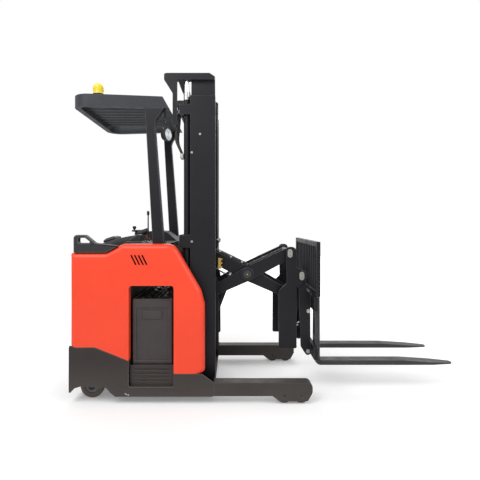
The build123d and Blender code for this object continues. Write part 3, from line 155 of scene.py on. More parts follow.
def remap(
    tree: Tree, value: Socket, low: float, high: float, to_low: float = 0.0, to_high: float = 1.0
) -> Socket:
    """Return a value mapped from the range low to high to another range, clamped."""
    sockets = {"Value": value, "From Min": low, "From Max": high, "To Min": to_low, "To Max": to_high}
    return add_node(tree, "ShaderNodeMapRange", sockets).outputs["Result"]


def noise(tree: Tree, where: Socket, scale: float, detail: float, rough: float) -> Socket:
    """Return the factor of a new noise texture on some coordinates."""
    sockets = {"Vector": where, "Scale": scale, "Detail": detail, "Roughness": rough}
    return add_node(tree, "ShaderNodeTexNoise", sockets).outputs["Fac"]


def mix(tree: Tree, factor: Socket, first: Socket | Colour, second: Colour) -> Socket:
    """Mix two colours by a factor.

    Args:
        tree: Node tree to add to.
        factor: Share of the second colour.
        first: First colour, or the socket that gives it.
        second: Second colour.

    Returns:
        The mixed colour.
    """
    base = (*first, 1.0) if isinstance(first, tuple) else first
    sockets = {0: factor, 6: base, 7: (*second, 1.0)}
    return add_node(tree, "ShaderNodeMix", sockets, data_type="RGBA").outputs[2]


@dataclass(frozen=True)
class Finish:
    """A procedural finish on object coordinates, with mottling, wear, grain and floor dust."""

    name: str
    colour: Colour
    shade: Colour
    roughness: Flat = (0.35, 0.55)
    metallic: float = 0.0
    mottle_scale: float = 3.0
    grain_scale: float = 260.0
    grain: float = 0.05
    scratch: float = 0.0
    scratch_colour: Colour = (0.30, 0.29, 0.28)
    dust: float = 0.0
    dust_colour: Colour = (0.24, 0.22, 0.20)
    coat: float = 0.0
    specular: float = 0.5
    emission: float = 0.0
    pattern: Pattern = Pattern.PAINT

    def material(self) -> bpy.types.Material:
        """Return this finish's material, made once."""
        made = bpy.data.materials.get(self.name)
        return made if made is not None else self._build()

    def _build(self) -> bpy.types.Material:
        """Build the node tree.

        Returns:
            The new material.
        """
        material = bpy.data.materials.new(self.name)
        material.use_nodes = True
        tree = material.node_tree
        shader = tree.nodes["Principled BSDF"]
        where = tree.nodes.new("ShaderNodeTexCoord").outputs["Object"]
        mottle = noise(tree, where, self.mottle_scale, 6.0, 0.62)
        colour = mix(tree, remap(tree, mottle, *MOTTLE_BAND), self.colour, self.shade)
        speck = noise(tree, where, self.grain_scale * 0.35, 3.0, 0.55)
        darker = tuple(channel * SPECK_DARK for channel in self.colour)
        colour = mix(tree, remap(tree, speck, *SPECK_BAND, 0.0, SPECK_SHARE), colour, darker)
        if self.scratch > 0.0:
            colour = self._scratches(tree, where, colour)
        if self.dust > 0.0:
            colour = self._dust(tree, where, colour, mottle)
        cloud = noise(tree, where, self.mottle_scale * 4.3, 4.0, 0.6)
        rough = remap(tree, cloud, *CLOUD_BAND, *self.roughness)
        relief = self._relief(tree, where)
        for name, socket in (("Base Color", colour), ("Roughness", rough), ("Normal", relief)):
            tree.links.new(socket, shader.inputs[name])
        plain = {
            "Metallic": self.metallic, "Coat Weight": self.coat, "Coat Roughness": 0.08,
            "Specular IOR Level": self.specular, "Emission Strength": self.emission,
        }
        if self.emission > 0.0:
            plain["Emission Color"] = (*self.colour, 1.0)
        for name, value in plain.items():
            shader.inputs[name].default_value = value
        return material

    def _relief(self, tree: Tree, where: Socket) -> Socket:
        """Add the bump of this finish's pattern.

        Args:
            tree: Node tree to add to.
            where: Object coordinates.

        Returns:
            The bumped normal.
        """
        grain = noise(tree, where, self.grain_scale, 2.0, 0.5)
        if self.pattern in (Pattern.VINYL, Pattern.MOULDED):
            cells = add_node(tree, "ShaderNodeTexVoronoi", {"Vector": where, "Scale": self.grain_scale})
            grain = cells.outputs["Distance"]
        fine = {"Height": grain, "Strength": self.grain, "Distance": 0.002}
        normal = add_node(tree, "ShaderNodeBump", fine).outputs["Normal"]
        if self.pattern is not Pattern.PAINT:
            return normal
        wave = noise(tree, where, 7.0, 1.0, 0.4)
        broad = {"Height": wave, "Strength": 0.05, "Distance": 0.01, "Normal": normal}
        return add_node(tree, "ShaderNodeBump", broad).outputs["Normal"]

    def _scratches(self, tree: Tree, where: Socket, colour: Socket) -> Socket:
        """Mix thin lengthwise rubs into a colour.

        Args:
            tree: Node tree to add to.
            where: Object coordinates.
            colour: Colour below the rubs.

        Returns:
            The mixed colour.
        """
        drawn = add_node(tree, "ShaderNodeMapping", {"Vector": where, "Scale": RUB_SCALE})
        line = noise(tree, drawn.outputs["Vector"], 3.0, 5.0, 0.7)
        return mix(tree, remap(tree, line, *RUB_BAND, 0.0, self.scratch), colour, self.scratch_colour)

    def _dust(self, tree: Tree, where: Socket, colour: Socket, mottle: Socket) -> Socket:
        """Mix floor dust into the lowest part of a colour.

        Args:
            tree: Node tree to add to.
            where: Object coordinates.
            colour: Clean colour.
            mottle: Noise that breaks the dust up.

        Returns:
            The mixed colour.
        """
        split = add_node(tree, "ShaderNodeSeparateXYZ", {"Vector": where})
        low = remap(tree, split.outputs["Z"], *DUST_HEIGHT, self.dust, 0.0)
        patch = add_node(tree, "ShaderNodeMath", {0: low, 1: mottle}, operation="MULTIPLY")
        return mix(tree, patch.outputs["Value"], colour, self.dust_colour)


BODY_RED = Finish("body_red", (0.93, 0.066, 0.022), (0.86, 0.058, 0.020), (0.30, 0.44), coat=0.12,
                  grain=0.02, mottle_scale=1.6, specular=0.32)
BODY_EDGE = Finish("body_red_edge", (0.96, 0.10, 0.045), (0.86, 0.07, 0.028), (0.34, 0.5), grain=0.03,
                   specular=0.3)
BASE_GREY = Finish("base_grey", (0.036, 0.029, 0.027), (0.026, 0.021, 0.020), (0.46, 0.64), grain=0.10,
                   grain_scale=420.0, scratch=0.08, scratch_colour=(0.14, 0.13, 0.12), dust=0.30,
                   specular=0.30)
BASE_EDGE = Finish("base_grey_edge", (0.085, 0.078, 0.074), (0.048, 0.043, 0.041), (0.40, 0.6), scratch=0.25,
                   dust=0.25, specular=0.35)
MAST_BLACK = Finish("mast_black", (0.0100, 0.0100, 0.0132), (0.0070, 0.0070, 0.0090), (0.34, 0.52),
                    grain=0.05, scratch=0.06, scratch_colour=(0.07, 0.07, 0.07), specular=0.24)
MAST_EDGE = Finish("mast_black_edge", (0.045, 0.045, 0.052), (0.020, 0.020, 0.024), (0.32, 0.5), scratch=0.3,
                   scratch_colour=(0.16, 0.16, 0.16), specular=0.36)
GUARD_GREY = Finish("guard_grey", (0.034, 0.037, 0.044), (0.025, 0.027, 0.032), (0.38, 0.56), grain=0.07,
                    specular=0.3)
GUARD_EDGE = Finish("guard_grey_edge", (0.075, 0.079, 0.088), (0.040, 0.043, 0.049), (0.36, 0.54),
                    specular=0.35)
FORK_BLACK = Finish("fork_black", (0.050, 0.047, 0.051), (0.034, 0.032, 0.035), (0.34, 0.58), metallic=0.2,
                    scratch=0.40, scratch_colour=(0.17, 0.165, 0.165), grain=0.08, specular=0.35)
FORK_EDGE = Finish("fork_worn_edge", (0.16, 0.155, 0.155), (0.07, 0.066, 0.066), (0.28, 0.46), metallic=0.6,
                   scratch=0.4)
CHROME = Finish("chrome_rod", (0.80, 0.80, 0.82), (0.66, 0.66, 0.68), (0.06, 0.14), metallic=1.0, grain=0.0,
                pattern=Pattern.METAL)
STEEL = Finish("bare_steel", (0.46, 0.45, 0.44), (0.30, 0.29, 0.28), (0.28, 0.46), metallic=1.0,
               pattern=Pattern.METAL, grain=0.06)
ZINC = Finish("zinc_bolt", (0.52, 0.50, 0.46), (0.36, 0.34, 0.31), (0.32, 0.5), metallic=1.0,
              pattern=Pattern.METAL)
CHAIN_STEEL = Finish("oiled_chain", (0.16, 0.145, 0.13), (0.07, 0.062, 0.055), (0.24, 0.44), metallic=0.9,
                     pattern=Pattern.METAL, mottle_scale=30.0)
URETHANE = Finish("wheel_urethane", (0.105, 0.050, 0.028), (0.066, 0.034, 0.022), (0.40, 0.6), grain=0.10,
                  dust=0.5, pattern=Pattern.RUBBER)
HUB_GREY = Finish("wheel_hub", (0.17, 0.165, 0.16), (0.10, 0.098, 0.095), (0.36, 0.56), metallic=0.5,
                  dust=0.4)
PLASTIC = Finish("moulded_plastic", (0.022, 0.022, 0.024), (0.016, 0.016, 0.018), (0.46, 0.62), grain=0.22,
                 grain_scale=900.0, pattern=Pattern.MOULDED, specular=0.35)
PLASTIC_EDGE = Finish("moulded_edge", (0.055, 0.056, 0.060), (0.036, 0.036, 0.040), (0.42, 0.6), grain=0.12,
                      grain_scale=900.0, pattern=Pattern.MOULDED)
VINYL = Finish("black_vinyl", (0.022, 0.022, 0.023), (0.015, 0.015, 0.016), (0.40, 0.58), grain=0.30,
               grain_scale=640.0, pattern=Pattern.VINYL)
RUBBER = Finish("black_rubber", (0.020, 0.020, 0.020), (0.014, 0.014, 0.014), (0.58, 0.78), grain=0.12,
                pattern=Pattern.RUBBER)
HOSE = Finish("hose_rubber", (0.017, 0.017, 0.019), (0.011, 0.011, 0.012), (0.42, 0.6), grain=0.10,
              grain_scale=1100.0, pattern=Pattern.RUBBER)
CASE_GREY = Finish("battery_grey", (0.055, 0.050, 0.048), (0.042, 0.038, 0.037), (0.46, 0.64), scratch=0.08,
                   scratch_colour=(0.15, 0.14, 0.13), specular=0.3)
CELL_GREY = Finish("cell_lid", (0.045, 0.046, 0.048), (0.030, 0.030, 0.032), (0.40, 0.6),
                   pattern=Pattern.MOULDED)
BRASS = Finish("brass_fitting", (0.62, 0.42, 0.12), (0.46, 0.29, 0.08), (0.22, 0.4), metallic=1.0,
               pattern=Pattern.METAL)
# Faint emission: the beacon lens glows as a lamp, and the stop knob's yellow base glows too, a painted glow
# on a part that is no lamp.
AMBER = Finish("beacon_yellow", (0.93, 0.70, 0.030), (0.86, 0.60, 0.020), (0.12, 0.22), coat=0.5, grain=0.0,
               emission=0.06, pattern=Pattern.MOULDED)
LENS = Finish("lamp_lens", (0.78, 0.81, 0.83), (0.64, 0.67, 0.70), (0.08, 0.18), coat=0.6, grain=0.05,
              grain_scale=160.0, pattern=Pattern.MOULDED)
# Near-black painted shade: stands for the shade inside the side panels' vents and in the battery connector's
# opening.
PAINTED_SHADE = Finish("painted_shade_inside", (0.008, 0.008, 0.009), (0.005, 0.005, 0.006), (0.7, 0.9), grain=0.02)
SCREEN = Finish("display_glass", (0.010, 0.014, 0.016), (0.008, 0.010, 0.012), (0.08, 0.16), coat=0.4,
                grain=0.0)
RED_KNOB = Finish("stop_red", (0.62, 0.020, 0.014), (0.50, 0.016, 0.012), (0.28, 0.42), grain=0.04,
                  pattern=Pattern.MOULDED)
WHITE_CAP = Finish("white_cap", (0.72, 0.72, 0.70), (0.60, 0.60, 0.58), (0.36, 0.52), grain=0.03)
CABLE_RED = Finish("cable_red", (0.42, 0.026, 0.018), (0.32, 0.02, 0.014), (0.44, 0.6), grain=0.06,
                   pattern=Pattern.RUBBER)


def link_in(obj: Piece) -> Piece:
    """Put an object into the scene's collection and return it."""
    bpy.context.scene.collection.objects.link(obj)
    return obj


def baked_mesh(obj: Piece) -> Mesh:
    """Return a plain mesh of an object with its modifiers applied."""
    graph = bpy.context.evaluated_depsgraph_get()
    return bpy.data.meshes.new_from_object(obj.evaluated_get(graph), depsgraph=graph)


def make_object(name: str, shape: Shape, finishes: Sequence[Finish], angle: float = 35.0) -> Piece:
    """Turn a bmesh into an object with materials and smooth shading below an angle.

    Args:
        name: Piece name.
        shape: Mesh, freed here.
        finishes: Materials by index.
        angle: Sharp-edge angle in degrees.

    Returns:
        The new object.
    """
    bmesh.ops.recalc_face_normals(shape, faces=shape.faces)
    mesh = bpy.data.meshes.new(name)
    shape.to_mesh(mesh)
    shape.free()
    for finish in finishes:
        mesh.materials.append(finish.material())
    smooth_by_angle(mesh, angle)
    return link_in(bpy.data.objects.new(name, mesh))


def smooth_by_angle(mesh: Mesh, angle: float) -> None:
    """Shade a mesh smooth, sharp over an angle in degrees."""
    mesh.polygons.foreach_set("use_smooth", [True] * len(mesh.polygons))
    mesh.set_sharp_from_angle(angle=math.radians(angle))


def swap_mesh(obj: Piece, mesh: Mesh) -> None:
    """Give an object another mesh and drop its old one.

    Args:
        obj: Object to change.
        mesh: Its new mesh.
    """
    old = obj.data
    obj.data = mesh
    mesh.name = obj.name
    bpy.data.meshes.remove(old)


def bake_in(obj: Piece) -> None:
    """Apply an object's modifiers to its mesh.

    Args:
        obj: Object to bake.
    """
    mesh = baked_mesh(obj)
    obj.modifiers.clear()
    swap_mesh(obj, mesh)


def even_normals(obj: Piece) -> None:
    """Lean the shading of rounded edges towards the large faces beside them.

    Args:
        obj: Piece to shade.
    """
    if "custom_normal" in obj.data.attributes:
        obj.data.attributes.remove(obj.data.attributes["custom_normal"])
    smooth_by_angle(obj.data, SHARP_ANGLE)
    weigh = obj.modifiers.new("weigh", "WEIGHTED_NORMAL")
    weigh.keep_sharp = True
    weigh.weight = FACE_WEIGHT
    bake_in(obj)


def weigh_edges(mesh: Mesh, width: float, plain: Test | None) -> None:
    """Weigh each sharp edge by the room that its neighbours leave for rounding.

    Args:
        mesh: Mesh to weigh.
        width: Full rounding in metres.
        plain: Says of an edge's middle that the edge stays sharp.
    """
    shape = bmesh.new()
    shape.from_mesh(mesh)
    layers = shape.edges.layers.float
    layer = layers.get("bevel_weight_edge") or layers.new("bevel_weight_edge")
    sharp = {edge for edge in shape.edges if edge.is_manifold and edge.calc_face_angle(0.0) > ROUND_ANGLE}
    for edge in sharp:
        if plain is not None and plain((edge.verts[0].co + edge.verts[1].co) / 2.0):
            continue
        room = width
        for vert in edge.verts:
            along = (edge.other_vert(vert).co - vert.co).normalized()
            for other in vert.link_edges:
                away = other.other_vert(vert).co - vert.co
                if other is edge or (other in sharp and abs(along.dot(away.normalized())) > STRAIGHT_ON):
                    continue
                room = min(room, ROOM_SHARE * away.length)
        edge[layer] = room / width
    shape.to_mesh(mesh)
    shape.free()


def surface(mesh: Mesh) -> float:
    """Return the area of a mesh's triangles, which grows where a rounding folds over."""
    mesh.calc_loop_triangles()
    return sum(triangle.area for triangle in mesh.loop_triangles)


def rounded_mesh(
    obj: Piece, width: float, segments: int, edge: int, clamp: bool, plain: Test | None
) -> Mesh:
    """Return a copy of an object's mesh with its sharp edges rounded.

    Args:
        obj: Object to round, left as it is.
        width: Bevel width in metres.
        segments: Bevel segments.
        edge: Material index of the rounded strip, or -1 for the faces' own.
        clamp: True to narrow the whole rounding where it would overlap.
        plain: Says of an edge's middle that the edge stays sharp.

    Returns:
        The rounded mesh.
    """
    weigh_edges(obj.data, width, plain)
    bevel = obj.modifiers.new("soften", "BEVEL")
    bevel.width = width
    bevel.segments = segments
    bevel.limit_method = "WEIGHT"
    bevel.use_clamp_overlap = clamp
    bevel.material = edge
    mesh = baked_mesh(obj)
    obj.modifiers.clear()
    return mesh


def soften(
    obj: Piece, width: float, segments: int = 2, edge: int = -1, plain: Test | None = None
) -> None:
    """Round an object's sharp edges and keep the result as its mesh.

    Args:
        obj: Object to round.
        width: Bevel width in metres.
        segments: Bevel segments.
        edge: Material index of the rounded strip, or -1 for the faces' own.
        plain: Says of an edge's middle that the edge stays sharp.
    """
    before = surface(obj.data)
    for share, clamp in ROUNDING_TRIES:
        rounded = rounded_mesh(obj, width * share, segments, edge, clamp, plain)
        if AREA_RANGE[0] < surface(rounded) / before < AREA_RANGE[1]:
            swap_mesh(obj, rounded)
            break
        bpy.data.meshes.remove(rounded)
    else:
        LOG.warning("%s keeps its sharp edges", obj.name)
    even_normals(obj)


def place(obj: Piece, body: str, slot: str, *nodes: str) -> Piece:
    """Make a piece ride on a body and hide the CAD nodes that it stands for.

    Args:
        obj: Piece.
        body: Body that carries it.
        slot: Material slot of the record; not used.
        nodes: CAD nodes that it replaces.

    Returns:
        The piece.
    """
    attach(obj, body)
    if nodes:
        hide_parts(*nodes)
    LOG.info("%s rides on %s with %d faces", obj.name, body, len(obj.data.polygons))
    return obj


def solid_of(node: str, cuts: Sequence[float] = ()) -> Shape:
    """Return a clean bmesh of a CAD node, with its flat faces joined.

    Args:
        node: CAD node.
        cuts: X places at which flat faces stay parted, so that none runs round a hole.

    Returns:
        The bmesh.
    """
    shape = bmesh.new()
    shape.from_mesh(frame["nodes"][node].data)
    bmesh.ops.remove_doubles(shape, verts=shape.verts, dist=WELD)
    for x in cuts:
        geometry = [*shape.verts, *shape.edges, *shape.faces]
        made = bmesh.ops.bisect_plane(shape, geom=geometry, plane_co=(x, 0.0, 0.0), plane_no=FRONT)
        for edge in made["geom_cut"]:
            if isinstance(edge, bmesh.types.BMEdge):
                edge.seam = True
    bmesh.ops.dissolve_limit(
        shape, angle_limit=FLAT_ANGLE, verts=shape.verts, edges=shape.edges, delimit={"SEAM"}
    )
    return shape


def dress(
    node: str,
    finish: Finish,
    edge: Finish | None = None,
    width: float = 0.0025,
    segments: int = 2,
    zones: Callable[[Vector], int] | None = None,
    extra: Sequence[Finish] = (),
    plain: Test | None = None,
    cuts: Sequence[float] = (),
    inset: float = 0.0,
) -> Piece:
    """Replace a CAD node by a copy with rounded, slightly worn edges.

    Args:
        node: CAD node.
        finish: Finish of its faces.
        edge: Finish of its rounded edges, or the same finish.
        width: Rounding in metres.
        segments: Segments of the rounding.
        zones: Material index of a face by its middle, where 2 and up are the extra finishes.
        extra: Further finishes.
        plain: Says of an edge's middle that the edge stays sharp.
        cuts: X places at which flat faces stay parted.
        inset: How far its sides stay inside the node's box, so that plugs can stand on them.

    Returns:
        The dressed piece.
    """
    shape = solid_of(node, cuts)
    if zones is not None:
        for face in shape.faces:
            face.material_index = zones(face.calc_center_median())
    obj = make_object(f"{node}_dressed", shape, [finish, edge or finish, *extra])
    soften(obj, width, segments, edge=1, plain=plain)
    skin = Vector((0.0, inset, 0.0))
    low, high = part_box(node)
    low, high = low + skin, high - skin
    for vert in obj.data.vertices:
        vert.co = [min(max(value, least), most) for value, least, most in zip(vert.co, low, high)]
    return place(obj, NODE_BODY[node], NODE_SLOT[node], node)


def turn_to(axis: Vector) -> Matrix:
    """Return the rotation that takes +Z to an axis."""
    return Vector((0.0, 0.0, 1.0)).rotation_difference(axis).to_matrix().to_4x4()


def lathe(
    shape: Shape,
    profile: Profile,
    centre: Point,
    axis: Axis | Vector = Axis.Y,
    index: int = 0,
    steps: int = 48,
) -> None:
    """Add a turned form to a bmesh.

    Args:
        shape: Mesh to add to.
        profile: Rows of radius and place along the axis; ends on the axis are closed.
        centre: Point of the axis that places are measured from.
        axis: Axis of the form.
        index: Material index.
        steps: Segments around.
    """
    direction = Vector(axis.value) if isinstance(axis, Axis) else axis.normalized()
    where = Matrix.Translation(Vector(centre)) @ turn_to(direction)
    turns = [2.0 * math.pi * step / steps for step in range(steps)]
    rings: list[list[bmesh.types.BMVert]] = []
    for radius, along in profile:
        spots = [(radius * math.cos(turn), radius * math.sin(turn), along) for turn in turns]
        if radius < 1e-6:
            spots = [(0.0, 0.0, along)]
        rings.append([shape.verts.new(where @ Vector(spot)) for spot in spots])
    for low, high in zip(rings, rings[1:]):
        for step in range(steps):
            pairs = ((low, step), (low, step + 1), (high, step + 1), (high, step))
            unique = list(dict.fromkeys(ring[turn % len(ring)] for ring, turn in pairs))
            if len(unique) > 2:
                shape.faces.new(unique).material_index = index


def block(shape: Shape, low: Point, high: Point, index: int = 0) -> None:
    """Add a box between two corners to a bmesh.

    Args:
        shape: Mesh to add to.
        low: Lowest corner.
        high: Highest corner.
        index: Material index.
    """
    middle = (Vector(low) + Vector(high)) / 2.0
    size = Vector(high) - Vector(low)
    matrix = Matrix.Translation(middle) @ Matrix.Diagonal((*size, 1.0))
    made = bmesh.ops.create_cube(shape, size=1.0, matrix=matrix)
    for face in {face for vert in made["verts"] for face in vert.link_faces}:
        face.material_index = index


def prism(shape: Shape, outline: Profile, span: Flat, index: int = 0) -> None:
    """Add a plate with an outline in X and Z and a span in Y.

    Args:
        shape: Mesh to add to.
        outline: Corners as x and z.
        span: Y range.
        index: Material index.
    """
    rings = [[shape.verts.new((x, y, z)) for x, z in outline] for y in span]
    shape.faces.new(rings[0]).material_index = index
    shape.faces.new(list(reversed(rings[1]))).material_index = index
    for step in range(len(outline)):
        after = (step + 1) % len(outline)
        side = [rings[0][step], rings[1][step], rings[1][after], rings[0][after]]
        shape.faces.new(side).material_index = index


def arc(centre: Flat, radius: float, start: float, end: float, steps: int) -> list[Flat]:
    """Return the points of a flat arc from one angle in degrees to another, with both ends."""
    turns = [math.radians(start + (end - start) * step / steps) for step in range(steps + 1)]
    return [(centre[0] + radius * math.cos(turn), centre[1] + radius * math.sin(turn)) for turn in turns]


def rod(radius: float, low: float, high: float) -> list[Flat]:
    """Return the turned profile of a closed plain cylinder between two places on its axis."""
    return [(0.0, low), (radius, low), (radius, high), (0.0, high)]


def tube_mesh(name: str, routes: Iterable[Sequence[Point]], radius: float, finish: Finish) -> Piece:
    """Make lines such as hoses along smooth curves, as one mesh.

    Args:
        name: Piece name.
        routes: Control points of each line.
        radius: Line radius.
        finish: Finish of the lines.

    Returns:
        The mesh object.
    """
    curve = bpy.data.curves.new(name, "CURVE")
    curve.dimensions = "3D"
    curve.bevel_depth = radius
    curve.bevel_resolution = 3
    curve.resolution_u = 6
    curve.use_fill_caps = True
    for route in routes:
        spline = curve.splines.new("NURBS")
        spline.points.add(len(route) - 1)
        for point, place_at in zip(spline.points, route):
            point.co = (*place_at, 1.0)
        spline.order_u = 3
        spline.use_endpoint_u = True
    line = link_in(bpy.data.objects.new(f"{name}_line", curve))
    mesh = baked_mesh(line)
    bpy.data.objects.remove(line)
    mesh.materials.clear()
    mesh.materials.append(finish.material())
    smooth_by_angle(mesh, 50.0)
    mesh.name = name
    return link_in(bpy.data.objects.new(name, mesh))


class RepeatTree:
    """A Geometry Nodes tree that sets one form on every point of a mesh, facing a named attribute."""

    label: str = "repeat"
    sizes: tuple[str, ...] = ()

    def __init__(self) -> None:
        """Build the tree with one input for each size and one for the material."""
        self.tree = bpy.data.node_groups.new(self.label, "GeometryNodeTree")
        face = self.tree.interface
        face.new_socket("Geometry", in_out="INPUT", socket_type="NodeSocketGeometry")
        kinds = {**dict.fromkeys(self.sizes, "NodeSocketFloat"), "Finish": "NodeSocketMaterial"}
        self.keys = {
            name: face.new_socket(name, in_out="INPUT", socket_type=kind).identifier
            for name, kind in kinds.items()
        }
        face.new_socket("Geometry", in_out="OUTPUT", socket_type="NodeSocketGeometry")
        self.inputs = self.tree.nodes.new("NodeGroupInput").outputs
        facing = self.node("GeometryNodeInputNamedAttribute", {"Name": "facing"}, data_type="FLOAT_VECTOR")
        way = {"Vector": facing.outputs["Attribute"]}
        turn = self.node("FunctionNodeAlignRotationToVector", way, axis="Z")
        spread = self.node("GeometryNodeInstanceOnPoints", {
            "Points": self.inputs["Geometry"], "Instance": self.form(), "Rotation": turn.outputs["Rotation"],
        })
        real = self.node("GeometryNodeRealizeInstances", {"Geometry": spread.outputs["Instances"]})
        paint = self.node("GeometryNodeSetMaterial", {
            "Geometry": real.outputs["Geometry"], "Material": self.inputs["Finish"],
        })
        self.node("NodeGroupOutput", {"Geometry": paint.outputs["Geometry"]})

    def node(self, kind: str, sockets: dict[str | int, object], **settings: str) -> bpy.types.Node:
        """Add a node to this tree, as add_node does, and return it."""
        return add_node(self.tree, kind, sockets, **settings)

    def times(self, value: Socket, share: float) -> Socket:
        """Return a value times a number."""
        return self.node("ShaderNodeMath", {0: value, 1: share}, operation="MULTIPLY").outputs["Value"]

    def moved(self, geometry: Socket, axis: Axis, distance: Socket) -> Socket:
        """Move a form along an axis.

        Args:
            geometry: Form to move.
            axis: Axis to move along.
            distance: How far.

        Returns:
            The moved form.
        """
        way = self.node("ShaderNodeCombineXYZ", {axis.name: distance}).outputs["Vector"]
        sockets = {"Geometry": geometry, "Translation": way}
        return self.node("GeometryNodeTransform", sockets).outputs["Geometry"]

    def disc(self, sides: int, radius: Socket, depth: Socket) -> Socket:
        """Return a disc or prism with a number of sides, about the origin."""
        sockets = {"Vertices": sides, "Radius": radius, "Depth": depth}
        return self.node("GeometryNodeMeshCylinder", sockets).outputs["Mesh"]

    def cube(self, x: Socket, y: Socket, z: Socket) -> Socket:
        """Return a box of three lengths, about the origin."""
        size = self.node("ShaderNodeCombineXYZ", {"X": x, "Y": y, "Z": z}).outputs["Vector"]
        return self.node("GeometryNodeMeshCube", {"Size": size}).outputs["Mesh"]

    def together(self, *forms: Socket) -> Socket:
        """Join forms into one.

        Args:
            forms: Forms to join.

        Returns:
            The joined form.
        """
        node = self.tree.nodes.new("GeometryNodeJoinGeometry")
        for form in forms:
            self.tree.links.new(form, node.inputs["Geometry"])
        return node.outputs["Geometry"]

    def form(self) -> Socket:
        """Return the repeated form's geometry."""
        raise NotImplementedError

    def bake(self, name: str, points: Rows, finish: Finish, sizes: dict[str, float]) -> Piece:
        """Set the form on points and return the result as a plain mesh.

        Args:
            name: Piece name.
            points: Rows of place and facing.
            finish: Finish of the forms.
            sizes: Value of each size input.

        Returns:
            The mesh object.
        """
        mesh = bpy.data.meshes.new(f"{name}_points")
        mesh.from_pydata([place_at for place_at, _ in points], [], [])
        facing = mesh.attributes.new("facing", "FLOAT_VECTOR", "POINT")
        facing.data.foreach_set("vector", [value for _, way in points for value in way])
        obj = link_in(bpy.data.objects.new(name, mesh))
        modifier = obj.modifiers.new("repeat", "NODES")
        modifier.node_group = self.tree
        for size, value in {**sizes, "Finish": finish.material()}.items():
            modifier[self.keys[size]] = value
        bake_in(obj)
        smooth_by_angle(obj.data, 32.0)
        return obj


class BoltTree(RepeatTree):
    """Hexagon bolt heads on washers."""

    label = "bolt_heads"
    sizes = ("Head", "Height", "Washer")

    def form(self) -> Socket:
        """Build a washer with a hexagon head and a raised face.

        Returns:
            The bolt head.
        """
        head, height, washer = (self.inputs[name] for name in self.sizes)
        third = self.times(height, 0.34)
        foot = self.moved(self.disc(28, washer, third), Axis.Z, self.times(third, 0.5))
        hexagon = self.moved(self.disc(6, head, self.times(height, 0.76)), Axis.Z, self.times(height, 0.62))
        crown = self.moved(self.disc(20, self.times(head, 0.74), third), Axis.Z, self.times(height, 0.90))
        return self.together(foot, hexagon, crown)


class RivetTree(RepeatTree):
    """Round caps such as pins' ends, buttons and plugs, in two steps."""

    label = "round_caps"
    sizes = ("Radius", "Height")

    def form(self) -> Socket:
        """Build a stepped round cap.

        Returns:
            The cap.
        """
        radius, height = (self.inputs[name] for name in self.sizes)
        foot = self.moved(self.disc(28, radius, self.times(height, 0.7)), Axis.Z, self.times(height, 0.35))
        crown = self.disc(28, self.times(radius, 0.82), self.times(height, 0.3))
        return self.together(foot, self.moved(crown, Axis.Z, self.times(height, 0.85)))


class BarTree(RepeatTree):
    """Straight bars with their ends rounded off, such as ribs and slats, along the facing's X."""

    label = "rib_bars"
    sizes = ("Length", "Width", "Height")
    end_step: float = 0.002

    def form(self) -> Socket:
        """Build a bar with a narrower crown.

        Returns:
            The bar.
        """
        length, width, height = (self.inputs[name] for name in self.sizes)
        short = self.node("ShaderNodeMath", {0: length, 1: self.end_step}, operation="SUBTRACT")
        foot = self.cube(length, width, self.times(height, 0.7))
        crown = self.cube(short.outputs["Value"], self.times(width, 0.6), height)
        forms = ((foot, 0.35), (crown, 0.5))
        return self.together(*(self.moved(form, Axis.Z, self.times(height, share)) for form, share in forms))


class LinkTree(RepeatTree):
    """Leaf-chain plates: two round eyes and a waist, laced by their points."""

    label = "chain_plates"
    sizes = ("Pitch", "Eye", "Thickness")

    def form(self) -> Socket:
        """Build one plate lying along Y, with its thickness along Z.

        Returns:
            The plate.
        """
        pitch, eye, thick = (self.inputs[name] for name in self.sizes)
        ends = [self.times(pitch, share) for share in (0.5, -0.5)]
        eyes = [self.moved(self.disc(14, eye, thick), Axis.Y, end) for end in ends]
        return self.together(*eyes, self.cube(self.times(eye, 1.25), pitch, thick))


@dataclass
class Trees:
    """The repeat trees, built once."""

    bolt: BoltTree = field(default_factory=BoltTree)
    cap: RivetTree = field(default_factory=RivetTree)
    bar: BarTree = field(default_factory=BarTree)
    link: LinkTree = field(default_factory=LinkTree)

    def bolts(self, name: str, body: str, points: Rows, head: float = 0.009, finish: Finish = ZINC) -> None:
        """Set bolt heads with a hexagon of a given radius on a body, at rows of place and facing."""
        sizes = {"Head": head, "Height": head * 0.75, "Washer": head * 1.38}
        place(self.bolt.bake(name, points, finish, sizes), body, "steel")

    def caps(
        self, name: str, body: str, points: Rows, size: Flat, finish: Finish, slot: str = "steel"
    ) -> None:
        """Set round caps, sized by radius and height, on a body, at rows of place and facing."""
        sizes = {"Radius": size[0], "Height": size[1]}
        place(self.cap.bake(name, points, finish, sizes), body, slot)


def both_sides(rows: Iterable[Flat], half: float) -> Rows:
    """Return points on both outer sides of the truck.

    Args:
        rows: Places as x and z.
        half: Half-width of the face.

    Returns:
        Rows of place and facing, the right side first.
    """
    places = list(rows)
    found: Rows = [((x, -half, z), RIGHT) for x, z in places]
    return found + [((x, half, z), LEFT) for x, z in places]


